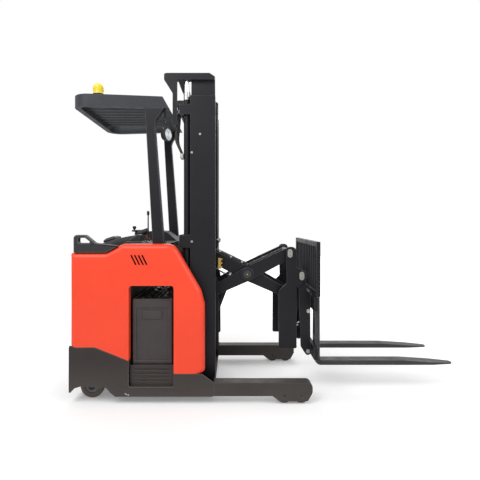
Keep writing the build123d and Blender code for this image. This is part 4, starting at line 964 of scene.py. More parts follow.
@dataclass
class Base:
    """Base frame, outriggers, bay walls and gates."""

    half: float = 0.550
    skirt: float = 0.015
    floor_top: float = 0.230
    seam_z: float = 0.32
    blade_count: int = 4
    blade_pitch: float = 0.028
    leg_width: float = 0.110
    weld_z: float = 0.1600
    weld_beads: int = 20
    plug_size: Flat = (0.0045, 0.0025)
    plug_rows: tuple[Flat, ...] = ((-1.070, 0.079), (-1.058, 0.073), (-1.046, 0.070))

    def build(self, trees: Trees) -> None:
        """Build and dress the base.

        Args:
            trees: Repeat trees.
        """
        dress("base_frame", BASE_GREY, BASE_EDGE, 0.004, 3, inset=0.0004)
        for node in ("leg_right", "leg_left"):
            dress(node, BASE_GREY, BASE_EDGE, 0.004, 3)
        dress("bay_bulkheads", BASE_GREY, BASE_EDGE)
        dress("battery_gates", BASE_GREY, BASE_EDGE, 0.0015)
        dress("load_wheel_axles", MAST_EDGE, None, 0.0015)
        plugs = both_sides(self.plug_rows, self.half - self.plug_size[1])
        trees.caps("base_plugs", "chassis", plugs, self.plug_size, WHITE_CAP)
        self.louvres(trees)
        self.returns()
        self.welds()

    def louvres(self, trees: Trees) -> None:
        """Lay tilted blades in the gates' slots.

        Args:
            trees: Repeat trees.
        """
        low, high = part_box("battery_gates")
        middle = (low.x + high.x) / 2.0
        points = []
        for side in Side:
            y = side.value * (high.y - 0.006)
            for row in range(self.blade_count):
                z = low.z + 0.036 + self.blade_pitch * row
                points.append(((middle, y - side.value * 0.004, z), (0.0, side.value * 0.72, 0.69)))
        sizes = {"Length": high.x - low.x - 0.056, "Width": 0.010, "Height": 0.004}
        place(trees.bar.bake("gate_blades", points, BASE_EDGE, sizes), "chassis", "base_paint")

    def returns(self) -> None:
        """Close the slot that the rear bay wall leaves between skirt and panel."""
        shape = bmesh.new()
        low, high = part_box("bay_bulkheads")
        for side in Side:
            y0, y1 = sorted((side.value * (high.y - 0.001), side.value * (self.half - self.skirt + 0.0005)))
            block(shape, (low.x, y0, self.floor_top - 0.005), (low.x + 0.014, y1, self.seam_z + 0.004))
        place(make_object("bay_returns", shape, [BASE_GREY]), "chassis", "base_paint")

    def welds(self) -> None:
        """Run a weld bead where each outrigger meets the base."""
        shape = bmesh.new()
        low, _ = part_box("leg_right")
        inner = self.half - self.leg_width + 0.004
        bead = [(0.0, -0.004), (0.0042, -0.002), (0.0050, 0.0), (0.0042, 0.002), (0.0, 0.004)]
        for side in Side:
            for step in range(self.weld_beads):
                y = side.value * (inner + (self.leg_width - 0.008) * step / (self.weld_beads - 1))
                lathe(shape, bead, (low.x + 0.001, y, self.weld_z), Axis.Y, 0, 10)
        place(make_object("leg_welds", shape, [BASE_GREY]), "chassis", "base_paint")


@dataclass
class Wheels:
    """Load wheels, caster and drive wheel, turned with separate tread and hub."""

    steps: int = 72
    nut_count: int = 8
    nut_circle: float = 0.075
    fin_count: int = 8
    fin_pitch: float = 0.018
    caster_axle: Point = (-1.355, -0.405, 0.090)
    caster_half: float = 0.0435

    def wheel(self, node: str, hub_share: float, dish: float, bore: float, crown: float) -> None:
        """Turn one wheel in place of its CAD node.

        Args:
            node: CAD node of the wheel.
            hub_share: Hub radius as a share of the wheel's radius.
            dish: How far the hub's web lies inside the tread's face.
            bore: Radius of its bearing cap.
            crown: Rounding of the tread's shoulder.
        """
        low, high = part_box(node)
        radius = (high.z - low.z) / 2.0
        half = (high.y - low.y) / 2.0
        centre = tuple((low + high) / 2.0)
        hub = radius * hub_share
        shape = bmesh.new()
        outer = [(hub, half - 0.001)] + arc((radius - crown, half - crown), crown, 90.0, 0.0, 5)
        tread = outer + [(r, -y) for r, y in reversed(outer)] + [outer[0]]
        lathe(shape, tread, centre, Axis.Y, 0, self.steps)
        web = half - dish
        rim = [(hub, half - 0.0025), (hub - 0.004, half - 0.0025), (hub - 0.008, web), (bore * 1.5, web),
               (bore * 1.3, web + 0.003), (bore, web + 0.003), (bore * 0.96, half - 0.0008),
               (bore * 0.55, half - 0.0008), (bore * 0.5, half - 0.003), (0.0, half - 0.003)]
        for way in (1.0, -1.0):
            lathe(shape, [(r, way * y) for r, y in rim], centre, Axis.Y, 1, self.steps)
        obj = make_object(f"{node}_turned", shape, [URETHANE, HUB_GREY], 40.0)
        place(obj, NODE_BODY[node], "polyurethane", node)

    def build(self, trees: Trees) -> None:
        """Build all wheels with their forks and bolts.

        Args:
            trees: Repeat trees.
        """
        for place_name in ("right_rear", "right_front", "left_rear", "left_front"):
            self.wheel(f"load_wheel_{place_name}", 0.68, 0.007, 0.0125, 0.006)
        self.wheel("caster_wheel", 0.66, 0.008, 0.017, 0.011)
        self.wheel("drive_wheel", 0.70, 0.018, 0.045, 0.015)
        dress("caster_fork", MAST_BLACK, MAST_EDGE, 0.002)
        dress("drive_unit", MAST_BLACK, MAST_EDGE, 0.004, 3)
        dress("drive_motor", MAST_BLACK, MAST_EDGE, 0.004, 3)
        low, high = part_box("drive_wheel")
        middle = (low + high) / 2.0
        circle = arc((middle.x, middle.z), self.nut_circle, 0.0, 360.0, self.nut_count)[:-1]
        ring = [((x, low.y + 0.0185, z), RIGHT) for x, z in circle]
        trees.bolts("drive_wheel_nuts", "drive_wheel", ring, 0.011)
        low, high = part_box("drive_motor")
        middle = (low + high) / 2.0
        shape = bmesh.new()
        fin = [(0.103, -0.003), (0.109, -0.002), (0.109, 0.002), (0.103, 0.003)]
        for step in range(self.fin_count):
            z = low.z + 0.10 + self.fin_pitch * step
            lathe(shape, fin, (middle.x, middle.y, z), Axis.Z, 0, 64)
        place(make_object("motor_fins", shape, [MAST_BLACK]), "chassis", "mast_paint")
        x, y, z = self.caster_axle
        ends = [((x, y - self.caster_half, z), RIGHT), ((x, y + self.caster_half, z), LEFT)]
        trees.bolts("caster_axle_nuts", "caster_swivel", ends, 0.010, MAST_EDGE)


@dataclass
class Body:
    """Painted side panels with vents, and the battery."""

    half: float = 0.550
    panel_back: float = 0.515
    vent_depth: float = 0.004
    vent_x: Flat = (-1.06, -0.88)
    vent_z: Flat = (1.02, 1.12)
    foot_corner: Flat = (-1.44, 0.47)
    vent_cuts: tuple[float, ...] = (-1.016, -0.989, -0.962, -0.935)
    battery_top: float = 0.769
    cell_pitch: float = 0.150
    column_x: float = 0.066

    def build(self, trees: Trees) -> None:
        """Build and dress the body.

        Args:
            trees: Repeat trees.
        """
        for node in ("side_panel_right", "side_panel_left"):
            # Faces inside the vents take the near-black painted shade.
            dress(node, BODY_RED, BODY_EDGE, 0.0045, 3, self.zone, [PAINTED_SHADE], self.plain, self.vent_cuts)
        self.battery(trees)

    def plain(self, at: Vector) -> bool:
        """Return whether a panel's edge stays as it is: at the vents and at the foot of the rear corner."""
        return self.at_vents(at) or (at.x < self.foot_corner[0] and at.z < self.foot_corner[1])

    def at_vents(self, at: Vector) -> bool:
        """Return whether a point of a panel lies at the vents."""
        return self.vent_z[0] < at.z < self.vent_z[1] and self.vent_x[0] < at.x < self.vent_x[1]

    def zone(self, at: Vector) -> int:
        """Return the material index of a panel face: near-black painted shade inside the vents."""
        inside = self.panel_back < abs(at.y) < self.half - self.vent_depth
        return 2 if self.at_vents(at) and inside else 0

    def lid_zone(self, at: Vector) -> int:
        """Return the material index of a battery face: cell lids below its rim."""
        return 2 if self.battery_top - 0.031 < at.z < self.battery_top - 0.005 else 0

    def battery(self, trees: Trees) -> None:
        """Dress the battery with its lids, caps, links, cables and end frame.

        Args:
            trees: Repeat trees.
        """
        low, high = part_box("battery")
        lid = self.battery_top - 0.012
        dress("battery", CASE_GREY, BASE_EDGE, 0.003, 2, self.lid_zone, [CELL_GREY])
        middle = (low.x + high.x) / 2.0
        columns = (middle - self.column_x, middle + self.column_x)
        caps = []
        for row in range(6):
            y = -0.375 + self.cell_pitch * row
            caps += [((x + dx, y, lid), UP) for x in columns for dx in (-0.030, 0.030)]
        trees.caps("cell_caps", "chassis", caps, (0.014, 0.010), PLASTIC_EDGE, "battery_case")
        shape = bmesh.new()
        for row in range(5):
            y = -0.300 + self.cell_pitch * row
            for x in columns:
                block(shape, (x - 0.011, y - 0.040, lid), (x + 0.011, y + 0.040, lid + 0.007))
        bars = make_object("cell_links", shape, [CHAIN_STEEL])
        soften(bars, 0.0015)
        place(bars, "chassis", "battery_case")
        self.cables()
        self.end_frames(low, high)

    def cables(self) -> None:
        """Lay the two battery cables from the end cells to their connector on the bay wall."""
        rise = ((-0.814, 0.0, 0.768), (-0.800, 0.0, 0.800))
        run = ((-0.790, -0.01, 0.842), (-0.772, -0.03, 0.848), (-0.752, -0.06, 0.842),
               (-0.744, -0.10, 0.836), (-0.742, -0.13, 0.832))
        cables = (("cable_red", CABLE_RED, -0.120, 0.0), ("cable_black", HOSE, -0.085, 0.012))
        for name, finish, y, drop in cables:
            route = [(x, y + dy, z) for x, dy, z in rise] + [(x, y + dy, z - drop) for x, dy, z in run]
            place(tube_mesh(name, [route], 0.008, finish), "chassis", "battery_case")
        shape = bmesh.new()
        block(shape, (-0.762, -0.325, 0.806), (-0.7141, -0.212, 0.856))
        # The near-black block on the connector's outer end is painted shade standing for its opening.
        block(shape, (-0.770, -0.338, 0.812), (-0.730, -0.324, 0.850), 1)
        plug = make_object("battery_connector", shape, [CABLE_RED, PAINTED_SHADE])
        soften(plug, 0.004)
        place(plug, "chassis", "plastic")

    def end_frames(self, low: Vector, high: Vector) -> None:
        """Weld a rim and ribs on each end of the battery case.

        Args:
            low: Lowest corner of the battery.
            high: Highest corner of the battery.
        """
        shape = bmesh.new()
        for side in Side:
            y0, y1 = sorted((side.value * 0.489, side.value * 0.4975))
            for z0, z1 in ((0.705, 0.758), (0.290, 0.312)):
                block(shape, (low.x + 0.006, y0, z0), (high.x - 0.006, y1, z1))
            for x in (low.x + 0.006, high.x - 0.030):
                block(shape, (x, y0, 0.312), (x + 0.024, y1, 0.705))
            front = y1 - 0.004 if side is Side.LEFT else y1
            block(shape, (low.x + 0.080, y0, 0.620), (high.x - 0.080, front, 0.680))
        rim = make_object("battery_end_frames", shape, [CASE_GREY, BASE_EDGE])
        soften(rim, 0.0025, edge=1)
        place(rim, "chassis", "battery_case")


@dataclass
class Soft:
    """Padded pieces, swelled by cloth simulation from the CAD solid's space."""

    voxel: float = 0.005
    cap: float = 0.010
    edge: float = 0.009
    pressure: float = 4.0
    frames: int = 20
    blend: float = 0.012

    def pad(self, node: str, low: Point, high: Point, shear: float, fill: float, backed: bool) -> None:
        """Make a stuffed pad.

        Args:
            node: CAD node that it replaces.
            low: Lowest corner of the slack pad.
            high: Highest corner of the slack pad.
            shear: Rise of Z with X.
            fill: How full it is, from 0 to 1; not used.
            backed: True when its high Y face rests on the truck and stays put.
        """
        shape = bmesh.new()
        block(shape, low, high)
        edges = shape.edges[:]
        bmesh.ops.bevel(shape, geom=edges, offset=self.edge, segments=3, profile=0.6, affect="EDGES")
        for vert in shape.verts:
            vert.co.z += shear * (vert.co.x - low[0])
        obj = make_object(f"{node}_pad", shape, [VINYL])
        self.remesh(obj)
        self.swell(obj, backed)
        divide = obj.modifiers.new("divide", "SUBSURF")
        divide.levels = 1
        divide.render_levels = 1
        bake_in(obj)
        smooth_by_angle(obj.data, 80.0)
        place(obj, NODE_BODY[node], "pad", node)

    def remesh(self, obj: Piece) -> None:
        """Rebuild a pad as an even voxel mesh.

        Args:
            obj: Pad.
        """
        voxels = obj.modifiers.new("voxels", "REMESH")
        voxels.mode = "VOXEL"
        voxels.voxel_size = self.voxel
        bake_in(obj)
        if not obj.data.materials:
            obj.data.materials.append(VINYL.material())

    def swell(self, obj: Piece, backed: bool) -> None:
        """Blow a pad up a little and cap how far its points move.

        Args:
            obj: Pad.
            backed: True when its high Y face stays put.
        """
        before = [vert.co.copy() for vert in obj.data.vertices]
        cloth = obj.modifiers.new("cloth", "CLOTH")
        cloth.settings.use_pressure = True
        cloth.settings.uniform_pressure_force = self.pressure
        cloth.settings.quality = 5
        cloth.settings.tension_stiffness = 25.0
        cloth.settings.effector_weights.gravity = 0.0
        cloth.point_cache.frame_start = 1
        cloth.point_cache.frame_end = self.frames
        scene = bpy.context.scene
        for step in range(1, self.frames + 1):
            scene.frame_set(step)
        swollen = baked_mesh(obj)
        moved = [vert.co.copy() for vert in swollen.vertices]
        scene.frame_set(1)
        obj.modifiers.clear()
        bpy.data.meshes.remove(swollen)
        rest = max(start.y for start in before)
        for vert, start, end in zip(obj.data.vertices, before, moved):
            shift = end - start
            if shift.length > self.cap:
                shift *= self.cap / shift.length
            if backed:
                shift.y = min(shift.y, rest - start.y)
                near = min(1.0, (rest - start.y) / self.blend)
                shift.y *= near if shift.y > 0.0 else 1.0
            vert.co = start + shift


@dataclass
class OperatorPlace:
    """Console, controls, pods, mat and pads of the operator's compartment."""

    dash_top: float = 1.200
    lever_at: Flat = (-0.960, -0.250)
    handle_at: Flat = (-1.020, -0.150)
    handle_rise: float = 0.065
    handle_lean: float = 70.0
    stop_at: Flat = (-1.010, -0.040)
    tiller_at: Flat = (-1.140, 0.250)
    armrest_slope: float = 0.055 / 0.175
    rib_count: int = 26

    def build(self, trees: Trees, soft: Soft) -> None:
        """Build and dress the operator's place.

        Args:
            trees: Repeat trees.
            soft: Maker of padded pieces.
        """
        dress("console", PLASTIC, PLASTIC_EDGE, 0.006, 3)
        dress("drive_pod", PLASTIC, PLASTIC_EDGE, 0.006, 3)
        dress("grab_handle", PLASTIC, PLASTIC_EDGE, 0.008, 3)
        self.mat(trees)
        self.handle(trees)
        self.display()
        self.dash(trees)
        self.tiller()
        low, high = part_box("lean_pad")
        foot = (low.x + 0.008, low.y + 0.007, low.z + 0.008)
        soft.pad("lean_pad", foot, (high.x - 0.008, high.y, high.z - 0.008), 0.0, 0.7, True)
        low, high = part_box("armrest")
        base = low.z + 0.002
        foot = (low.x + 0.006, low.y + 0.006, base)
        head = (high.x - 0.006, high.y - 0.006, base + 0.024)
        soft.pad("armrest", foot, head, self.armrest_slope, 0.8, False)

    def mat(self, trees: Trees) -> None:
        """Lay the ribbed floor mat.

        Args:
            trees: Repeat trees.
        """
        low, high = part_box("floor_mat")
        dress("floor_mat", RUBBER, None, 0.002)
        middle = (low.x + high.x) / 2.0
        pitch = (high.y - low.y - 0.044) / (self.rib_count - 1)
        ribs = [low.y + 0.022 + pitch * step for step in range(self.rib_count)]
        rows = [((middle, y, high.z - 0.0005), UP) for y in ribs]
        sizes = {"Length": high.x - low.x - 0.050, "Width": 0.009, "Height": 0.0035}
        place(trees.bar.bake("mat_ribs", rows, RUBBER, sizes), "chassis", "mat_rubber")

    def handle(self, trees: Trees) -> None:
        """Turn the control handle with its boot and buttons, and the hydraulic lever.

        Args:
            trees: Repeat trees.
        """
        shape = bmesh.new()
        boot = [(0.034, 0.0003), (0.034, 0.006), (0.030, 0.010), (0.031, 0.014), (0.026, 0.018),
                (0.027, 0.022), (0.021, 0.027), (0.022, 0.031), (0.016, 0.036), (0.013, 0.046), (0.0, 0.046)]
        lathe(shape, boot, (*self.handle_at, self.dash_top), Axis.Z, 0, 32)
        lean = math.radians(self.handle_lean)
        way = Vector((math.sin(lean), 0.0, math.cos(lean)))
        middle = (*self.handle_at, self.dash_top + self.handle_rise)
        grip = [(0.0, -0.048), (0.016, -0.047), (0.022, -0.041), (0.024, -0.030), (0.0225, -0.016),
                (0.0235, 0.0), (0.022, 0.014), (0.0235, 0.028), (0.022, 0.040), (0.016, 0.047), (0.0, 0.048)]
        lathe(shape, grip, middle, way, 1, 36)
        handle = make_object("control_handle_grip", shape, [RUBBER, PLASTIC], 60.0)
        place(handle, NODE_BODY["control_handle"], "plastic", "control_handle")
        thumb = Vector(middle) + way * -0.040
        buttons = [((thumb.x, thumb.y + dy, thumb.z + 0.019), UP) for dy in (-0.008, 0.008)]
        trees.caps("handle_buttons", "chassis", buttons, (0.005, 0.006), RED_KNOB, "plastic")
        lever = bmesh.new()
        stem = [(0.0, -0.002), (0.016, -0.002), (0.016, 0.010), (0.006, 0.018), (0.005, 0.200),
                (0.009, 0.206), (0.011, 0.220), (0.009, 0.236), (0.0, 0.241)]
        lathe(lever, stem, (*self.lever_at, self.dash_top), Axis.Z, 0, 24)
        place(make_object("hydraulic_lever", lever, [PLASTIC], 50.0), "chassis", "plastic")

    def display(self) -> None:
        """Build the display's housing and lay the glass on its sloped face."""
        z = self.dash_top
        housing = bmesh.new()
        outline = [(-1.085, z - 0.004), (-1.085, z + 0.012), (-1.020, z + 0.052), (-1.004, z + 0.046),
                   (-1.000, z - 0.004)]
        prism(housing, outline, (-0.360, -0.230))
        face = make_object("display_housing", housing, [PLASTIC, PLASTIC_EDGE])
        soften(face, 0.005, 3, edge=1)
        place(face, "chassis", "plastic")
        glass = bmesh.new()
        along = Vector((0.065, 0.0, 0.040)).normalized()
        across = Vector(LEFT)
        out = along.cross(across)
        middle = Vector((-1.0525, -0.295, z + 0.0325)) + out * 0.0004
        turned = Matrix((along, across, out)).transposed().to_4x4()
        matrix = Matrix.Translation(middle) @ turned @ Matrix.Diagonal((0.052, 0.100, 0.003, 1.0))
        bmesh.ops.create_cube(glass, size=1.0, matrix=matrix)
        screen = make_object("display_glass_pane", glass, [SCREEN])
        soften(screen, 0.001)
        place(screen, "chassis", "plastic")

    def dash(self, trees: Trees) -> None:
        """Set the keys, the stop knob and the key switch on the dash.

        Args:
            trees: Repeat trees.
        """
        z = self.dash_top - 0.0005
        keys = [(-1.075 + 0.024 * column, -0.085 + 0.026 * row) for row in range(3) for column in range(2)]
        rows = (
            ("dash_keys", keys, z, (0.009, 0.007), PLASTIC_EDGE, "plastic"),
            # The stop base's faint glow is painted light.
            ("stop_base", [self.stop_at], z, (0.024, 0.012), AMBER, "plastic"),
            ("stop_knob", [self.stop_at], self.dash_top + 0.011, (0.018, 0.020), RED_KNOB, "plastic"),
            ("key_switch", [(-1.060, -0.205)], z, (0.012, 0.008), STEEL, "steel"),
        )
        for name, spots, foot, size, finish, slot in rows:
            trees.caps(name, "chassis", [((x, y, foot), UP) for x, y in spots], size, finish, slot)

    def tiller(self) -> None:
        """Turn the steering tiller's wheel and knob."""
        low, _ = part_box("steer_tiller")
        x, y = self.tiller_at
        shape = bmesh.new()
        disc = [(0.0, 0.0), (0.060, 0.0), (0.067, 0.003), (0.070, 0.008), (0.067, 0.014), (0.060, 0.0165),
                (0.050, 0.013), (0.030, 0.012), (0.026, 0.017), (0.0, 0.018)]
        lathe(shape, disc, (x, y, low.z), Axis.Z, 0, 56)
        knob = [(0.009, 0.012), (0.009, 0.024), (0.014, 0.028), (0.017, 0.036), (0.017, 0.044),
                (0.013, 0.050), (0.006, 0.052), (0.0, 0.052)]
        lathe(shape, knob, (x - 0.045, y, low.z), Axis.Z, 1, 32)
        tiller = make_object("steer_tiller_turned", shape, [PLASTIC, RUBBER], 50.0)
        place(tiller, "tiller", "plastic", "steer_tiller")


@dataclass
class Guard:
    """Overhead guard, posts, beacon and work lamp."""

    lamp_at: Point = (-0.778, -0.420, 2.020)
    lamp_turn: float = 25.0
    lamp_rings: int = 9
    taper: Flat = (-0.860, -1.475)
    rear_half: float = 0.505
    overhang: float = 0.013
    flange_top: float = 1.197
    beacon_ribs: int = 8
    rib_pitch: float = 0.0052

    def build(self, trees: Trees) -> None:
        """Build and dress the guard.

        Args:
            trees: Repeat trees.
        """
        self.square(dress("overhead_guard", GUARD_GREY, GUARD_EDGE, 0.005, 3))
        dress("guard_posts", MAST_BLACK, MAST_EDGE, 0.006, 3)
        shape = bmesh.new()
        for side in Side:
            y0, y1 = sorted((side.value * 0.372, side.value * 0.4125))
            block(shape, (-0.892, y0, 1.1852), (-0.790, y1, 1.1972))
        flange = make_object("post_flanges", shape, [GUARD_GREY, GUARD_EDGE])
        soften(flange, 0.002, edge=1)
        place(flange, "chassis", "guard_paint")
        feet = [((x, y, self.flange_top), UP) for x in (-0.872, -0.812) for y in (-0.395, 0.395)]
        trees.bolts("post_bolts", "chassis", feet, 0.009)
        self.beacon()
        self.lamp(trees)

    def square(self, guard: Piece) -> None:
        """Draw the guard's rear corners out to the outline that the photograph shows.

        Args:
            guard: Dressed guard.
        """
        start, end = self.taper
        rear = max(abs(vert.co.y) for vert in guard.data.vertices if vert.co.x < end + 0.06)
        for vert in guard.data.vertices:
            share = min(1.0, max(0.0, (start - vert.co.x) / (start - end)))
            vert.co.y *= 1.0 + share * (self.rear_half / rear - 1.0)
            vert.co.x -= share * self.overhang

    def beacon(self) -> None:
        """Turn the beacon's base and ribbed lens."""
        low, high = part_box("beacon_base")
        radius = (high.x - low.x) / 2.0
        height = high.z - low.z
        shape = bmesh.new()
        foot = [(0.0, 0.0), (radius, 0.0), (radius, 0.006), (radius - 0.003, 0.009),
                (radius - 0.003, height - 0.004), (radius - 0.006, height), (0.0, height)]
        low_lens, high_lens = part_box("beacon_lens")
        x = (low_lens.x + high_lens.x) / 2.0
        y = (low_lens.y + high_lens.y) / 2.0
        lathe(shape, foot, (x, y, low.z), Axis.Z, 0, 56)
        place(make_object("beacon_foot", shape, [PLASTIC], 30.0), "chassis", "plastic", "beacon_base")
        lens = bmesh.new()
        radius = (high_lens.x - low_lens.x) / 2.0
        height = high_lens.z - low_lens.z
        inner = radius - 0.002
        profile = [(0.0, 0.0), (radius, 0.0), (radius, 0.006), (inner, 0.008)]
        for rib in range(self.beacon_ribs):
            z = 0.010 + self.rib_pitch * rib
            profile += [(radius - 0.0022, z), (radius - 0.0008, z + 0.0026)]
        crown = 0.010 + self.rib_pitch * self.beacon_ribs
        turns = [math.pi / 2.0 * step / 8.0 for step in range(8)]
        profile += [(inner * math.cos(turn), crown + (height - crown) * math.sin(turn)) for turn in turns]
        profile.append((0.0, height))
        lathe(lens, profile, (x, y, low_lens.z), Axis.Z, 0, 64)
        place(make_object("beacon_lens_ribbed", lens, [AMBER], 50.0), "chassis", "beacon", "beacon_lens")

    def lamp(self, trees: Trees) -> None:
        """Dress the work lamp with a grooved lens and bolts.

        Args:
            trees: Repeat trees.
        """
        dress("work_lamp", PLASTIC, PLASTIC_EDGE, 0.002, 2)
        turn = math.radians(self.lamp_turn)
        shape = bmesh.new()
        profile = [(0.0, 0.0022), (0.0458, 0.0022), (0.0458, 0.007)]
        for ring in range(self.lamp_rings, 0, -1):
            radius = 0.0048 * ring
            rise = 0.00012 * (self.lamp_rings - ring)
            profile += [(radius + 0.0012, 0.0072 + rise), (radius - 0.0010, 0.0090 + rise)]
        profile.append((0.0, 0.0098))
        lathe(shape, profile, self.lamp_at, Vector((math.cos(turn), -math.sin(turn), 0.0)), 0, 56)
        place(make_object("work_lamp_glass", shape, [LENS], 60.0), "chassis", "lens", "work_lamp_lens")
        points = [((self.lamp_at[0] - 0.032, -0.388, z), REAR) for z in (2.075, 2.190)]
        trees.bolts("lamp_bolts", "chassis", points, 0.007)


@dataclass
class Mast:
    """Telescoping mast with lift cylinders and leaf chains."""

    chain_x: float = -0.545
    chain_y: float = 0.090
    chain_z: Flat = (0.730, 2.385)
    chain_pitch: float = 0.0190
    chain_keep: float = 0.322
    sheave: Flat = (-0.590, 2.385)
    gland_z: float = 2.30
    web_y: float = 0.408
    line_count: int = 4
    pin_rows: tuple[Flat, ...] = ((-0.529, 2.027), (-0.592, 1.885), (-0.592, 1.198))

    def build(self, trees: Trees) -> None:
        """Build and dress the mast.

        Args:
            trees: Repeat trees.
        """
        for node in ("mast_outer", "mast_middle", "mast_inner"):
            dress(node, MAST_BLACK, MAST_EDGE, 0.003, 2)
        dress("lift_barrels", MAST_BLACK, MAST_EDGE, 0.0015, 2, self.gland_zone, [STEEL])
        dress("lift_rods", CHROME, None, 0.001)
        self.chain(trees)
        trees.caps("mast_pins", "chassis", both_sides(self.pin_rows, self.web_y), (0.009, 0.004), STEEL)
        self.hoses()

    def gland_zone(self, at: Vector) -> int:
        """Return the material index of a lift barrel's face: bare steel at its gland."""
        return 2 if at.z > self.gland_z else 0

    def chain(self, trees: Trees) -> None:
        """Lace the leaf chains from the sheaves down to the reach frame.

        Args:
            trees: Repeat trees.
        """
        low, high = self.chain_z
        count = int((high - low) / self.chain_pitch) - 1
        points: Rows = []
        for side in Side:
            for leaf in range(6):
                y = side.value * self.chain_y - 0.0125 + 0.005 * leaf
                start = low + self.chain_pitch * (0.5 if leaf % 2 == 0 else 1.0)
                heights = [start + self.chain_pitch * step for step in range(count)]
                points += [((self.chain_x, y, z), LEFT) for z in heights]
        sizes = {"Pitch": self.chain_pitch, "Eye": 0.0070, "Thickness": 0.0034}
        strands = trees.link.bake("lift_chain_plates", points, CHAIN_STEEL, sizes)
        place(strands, NODE_BODY["lift_chain_front"], "chain", "lift_chain_front")
        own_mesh(strands)
        self.chain_ends(low)

    def chain_ends(self, low: float) -> None:
        """Build the chains' anchors on the reach frame and their runs over the sheaves.

        Args:
            low: Height of the chains' lower ends.
        """
        shape = bmesh.new()
        rear, front = self.chain_x - 0.011, self.chain_x + 0.011
        plates = ((-0.020, 0.020, -0.030, -0.012), (-0.020, -0.016, -0.0125, 0.066),
                  (0.016, 0.020, -0.0125, 0.066))
        for side in Side:
            y = side.value * self.chain_y
            lathe(shape, rod(0.010, low - 0.070, low - 0.020), (self.chain_x, y, 0.0), Axis.Z, 0, 20)
            lathe(shape, rod(0.016, low - 0.062, low - 0.0405), (self.chain_x, y, 0.0), Axis.Z, 0, 6)
            for y0, y1, z0, z1 in plates:
                block(shape, (rear, y + y0, low + z0), (front, y + y1, low + z1))
        place(make_object("chain_anchors", shape, [STEEL]), "reach_support", "steel")
        tail = bmesh.new()
        for side in Side:
            y = side.value * self.chain_y
            outer = arc(self.sheave, 0.0450, 0.0, 180.0, 14) + [(-0.6350, 2.330)]
            inner = arc(self.sheave, 0.0405, 0.0, 180.0, 14) + [(-0.6305, 2.330)]
            prism(tail, outer + inner[::-1], (y - 0.014, y + 0.014))
            block(tail, (-0.640, y - 0.018, 2.318), (-0.588, y + 0.018, 2.334), 1)
        place(make_object("chain_over_sheaves", tail, [CHAIN_STEEL, MAST_BLACK]), "inner_stage", "chain")

    def hoses(self) -> None:
        """Run the clipped hydraulic lines from the upper tie to a block on the lift cylinder."""
        lines = []
        for index in range(self.line_count):
            y = -0.262 - 0.026 * index
            low = -0.300 - 0.024 * index
            sag = 0.008 * (index % 2)
            lines.append([(-0.700, y, 2.246), (-0.703, y, 2.160), (-0.712 - sag, y - 0.006, 2.070),
                          (-0.716 - sag, y - 0.016, 1.990), (-0.696, low, 1.930), (-0.672, low, 1.878)])
        place(tube_mesh("mast_hoses", lines, 0.0095, HOSE), "chassis", "plastic")
        shape = bmesh.new()
        block(shape, (-0.7125, -0.356, 2.201), (-0.6905, -0.246, 2.229))
        block(shape, (-0.6860, -0.390, 1.845), (-0.6612, -0.286, 1.880))
        clips = make_object("mast_hose_clips", shape, [ZINC])
        soften(clips, 0.003)
        place(clips, "chassis", "steel")


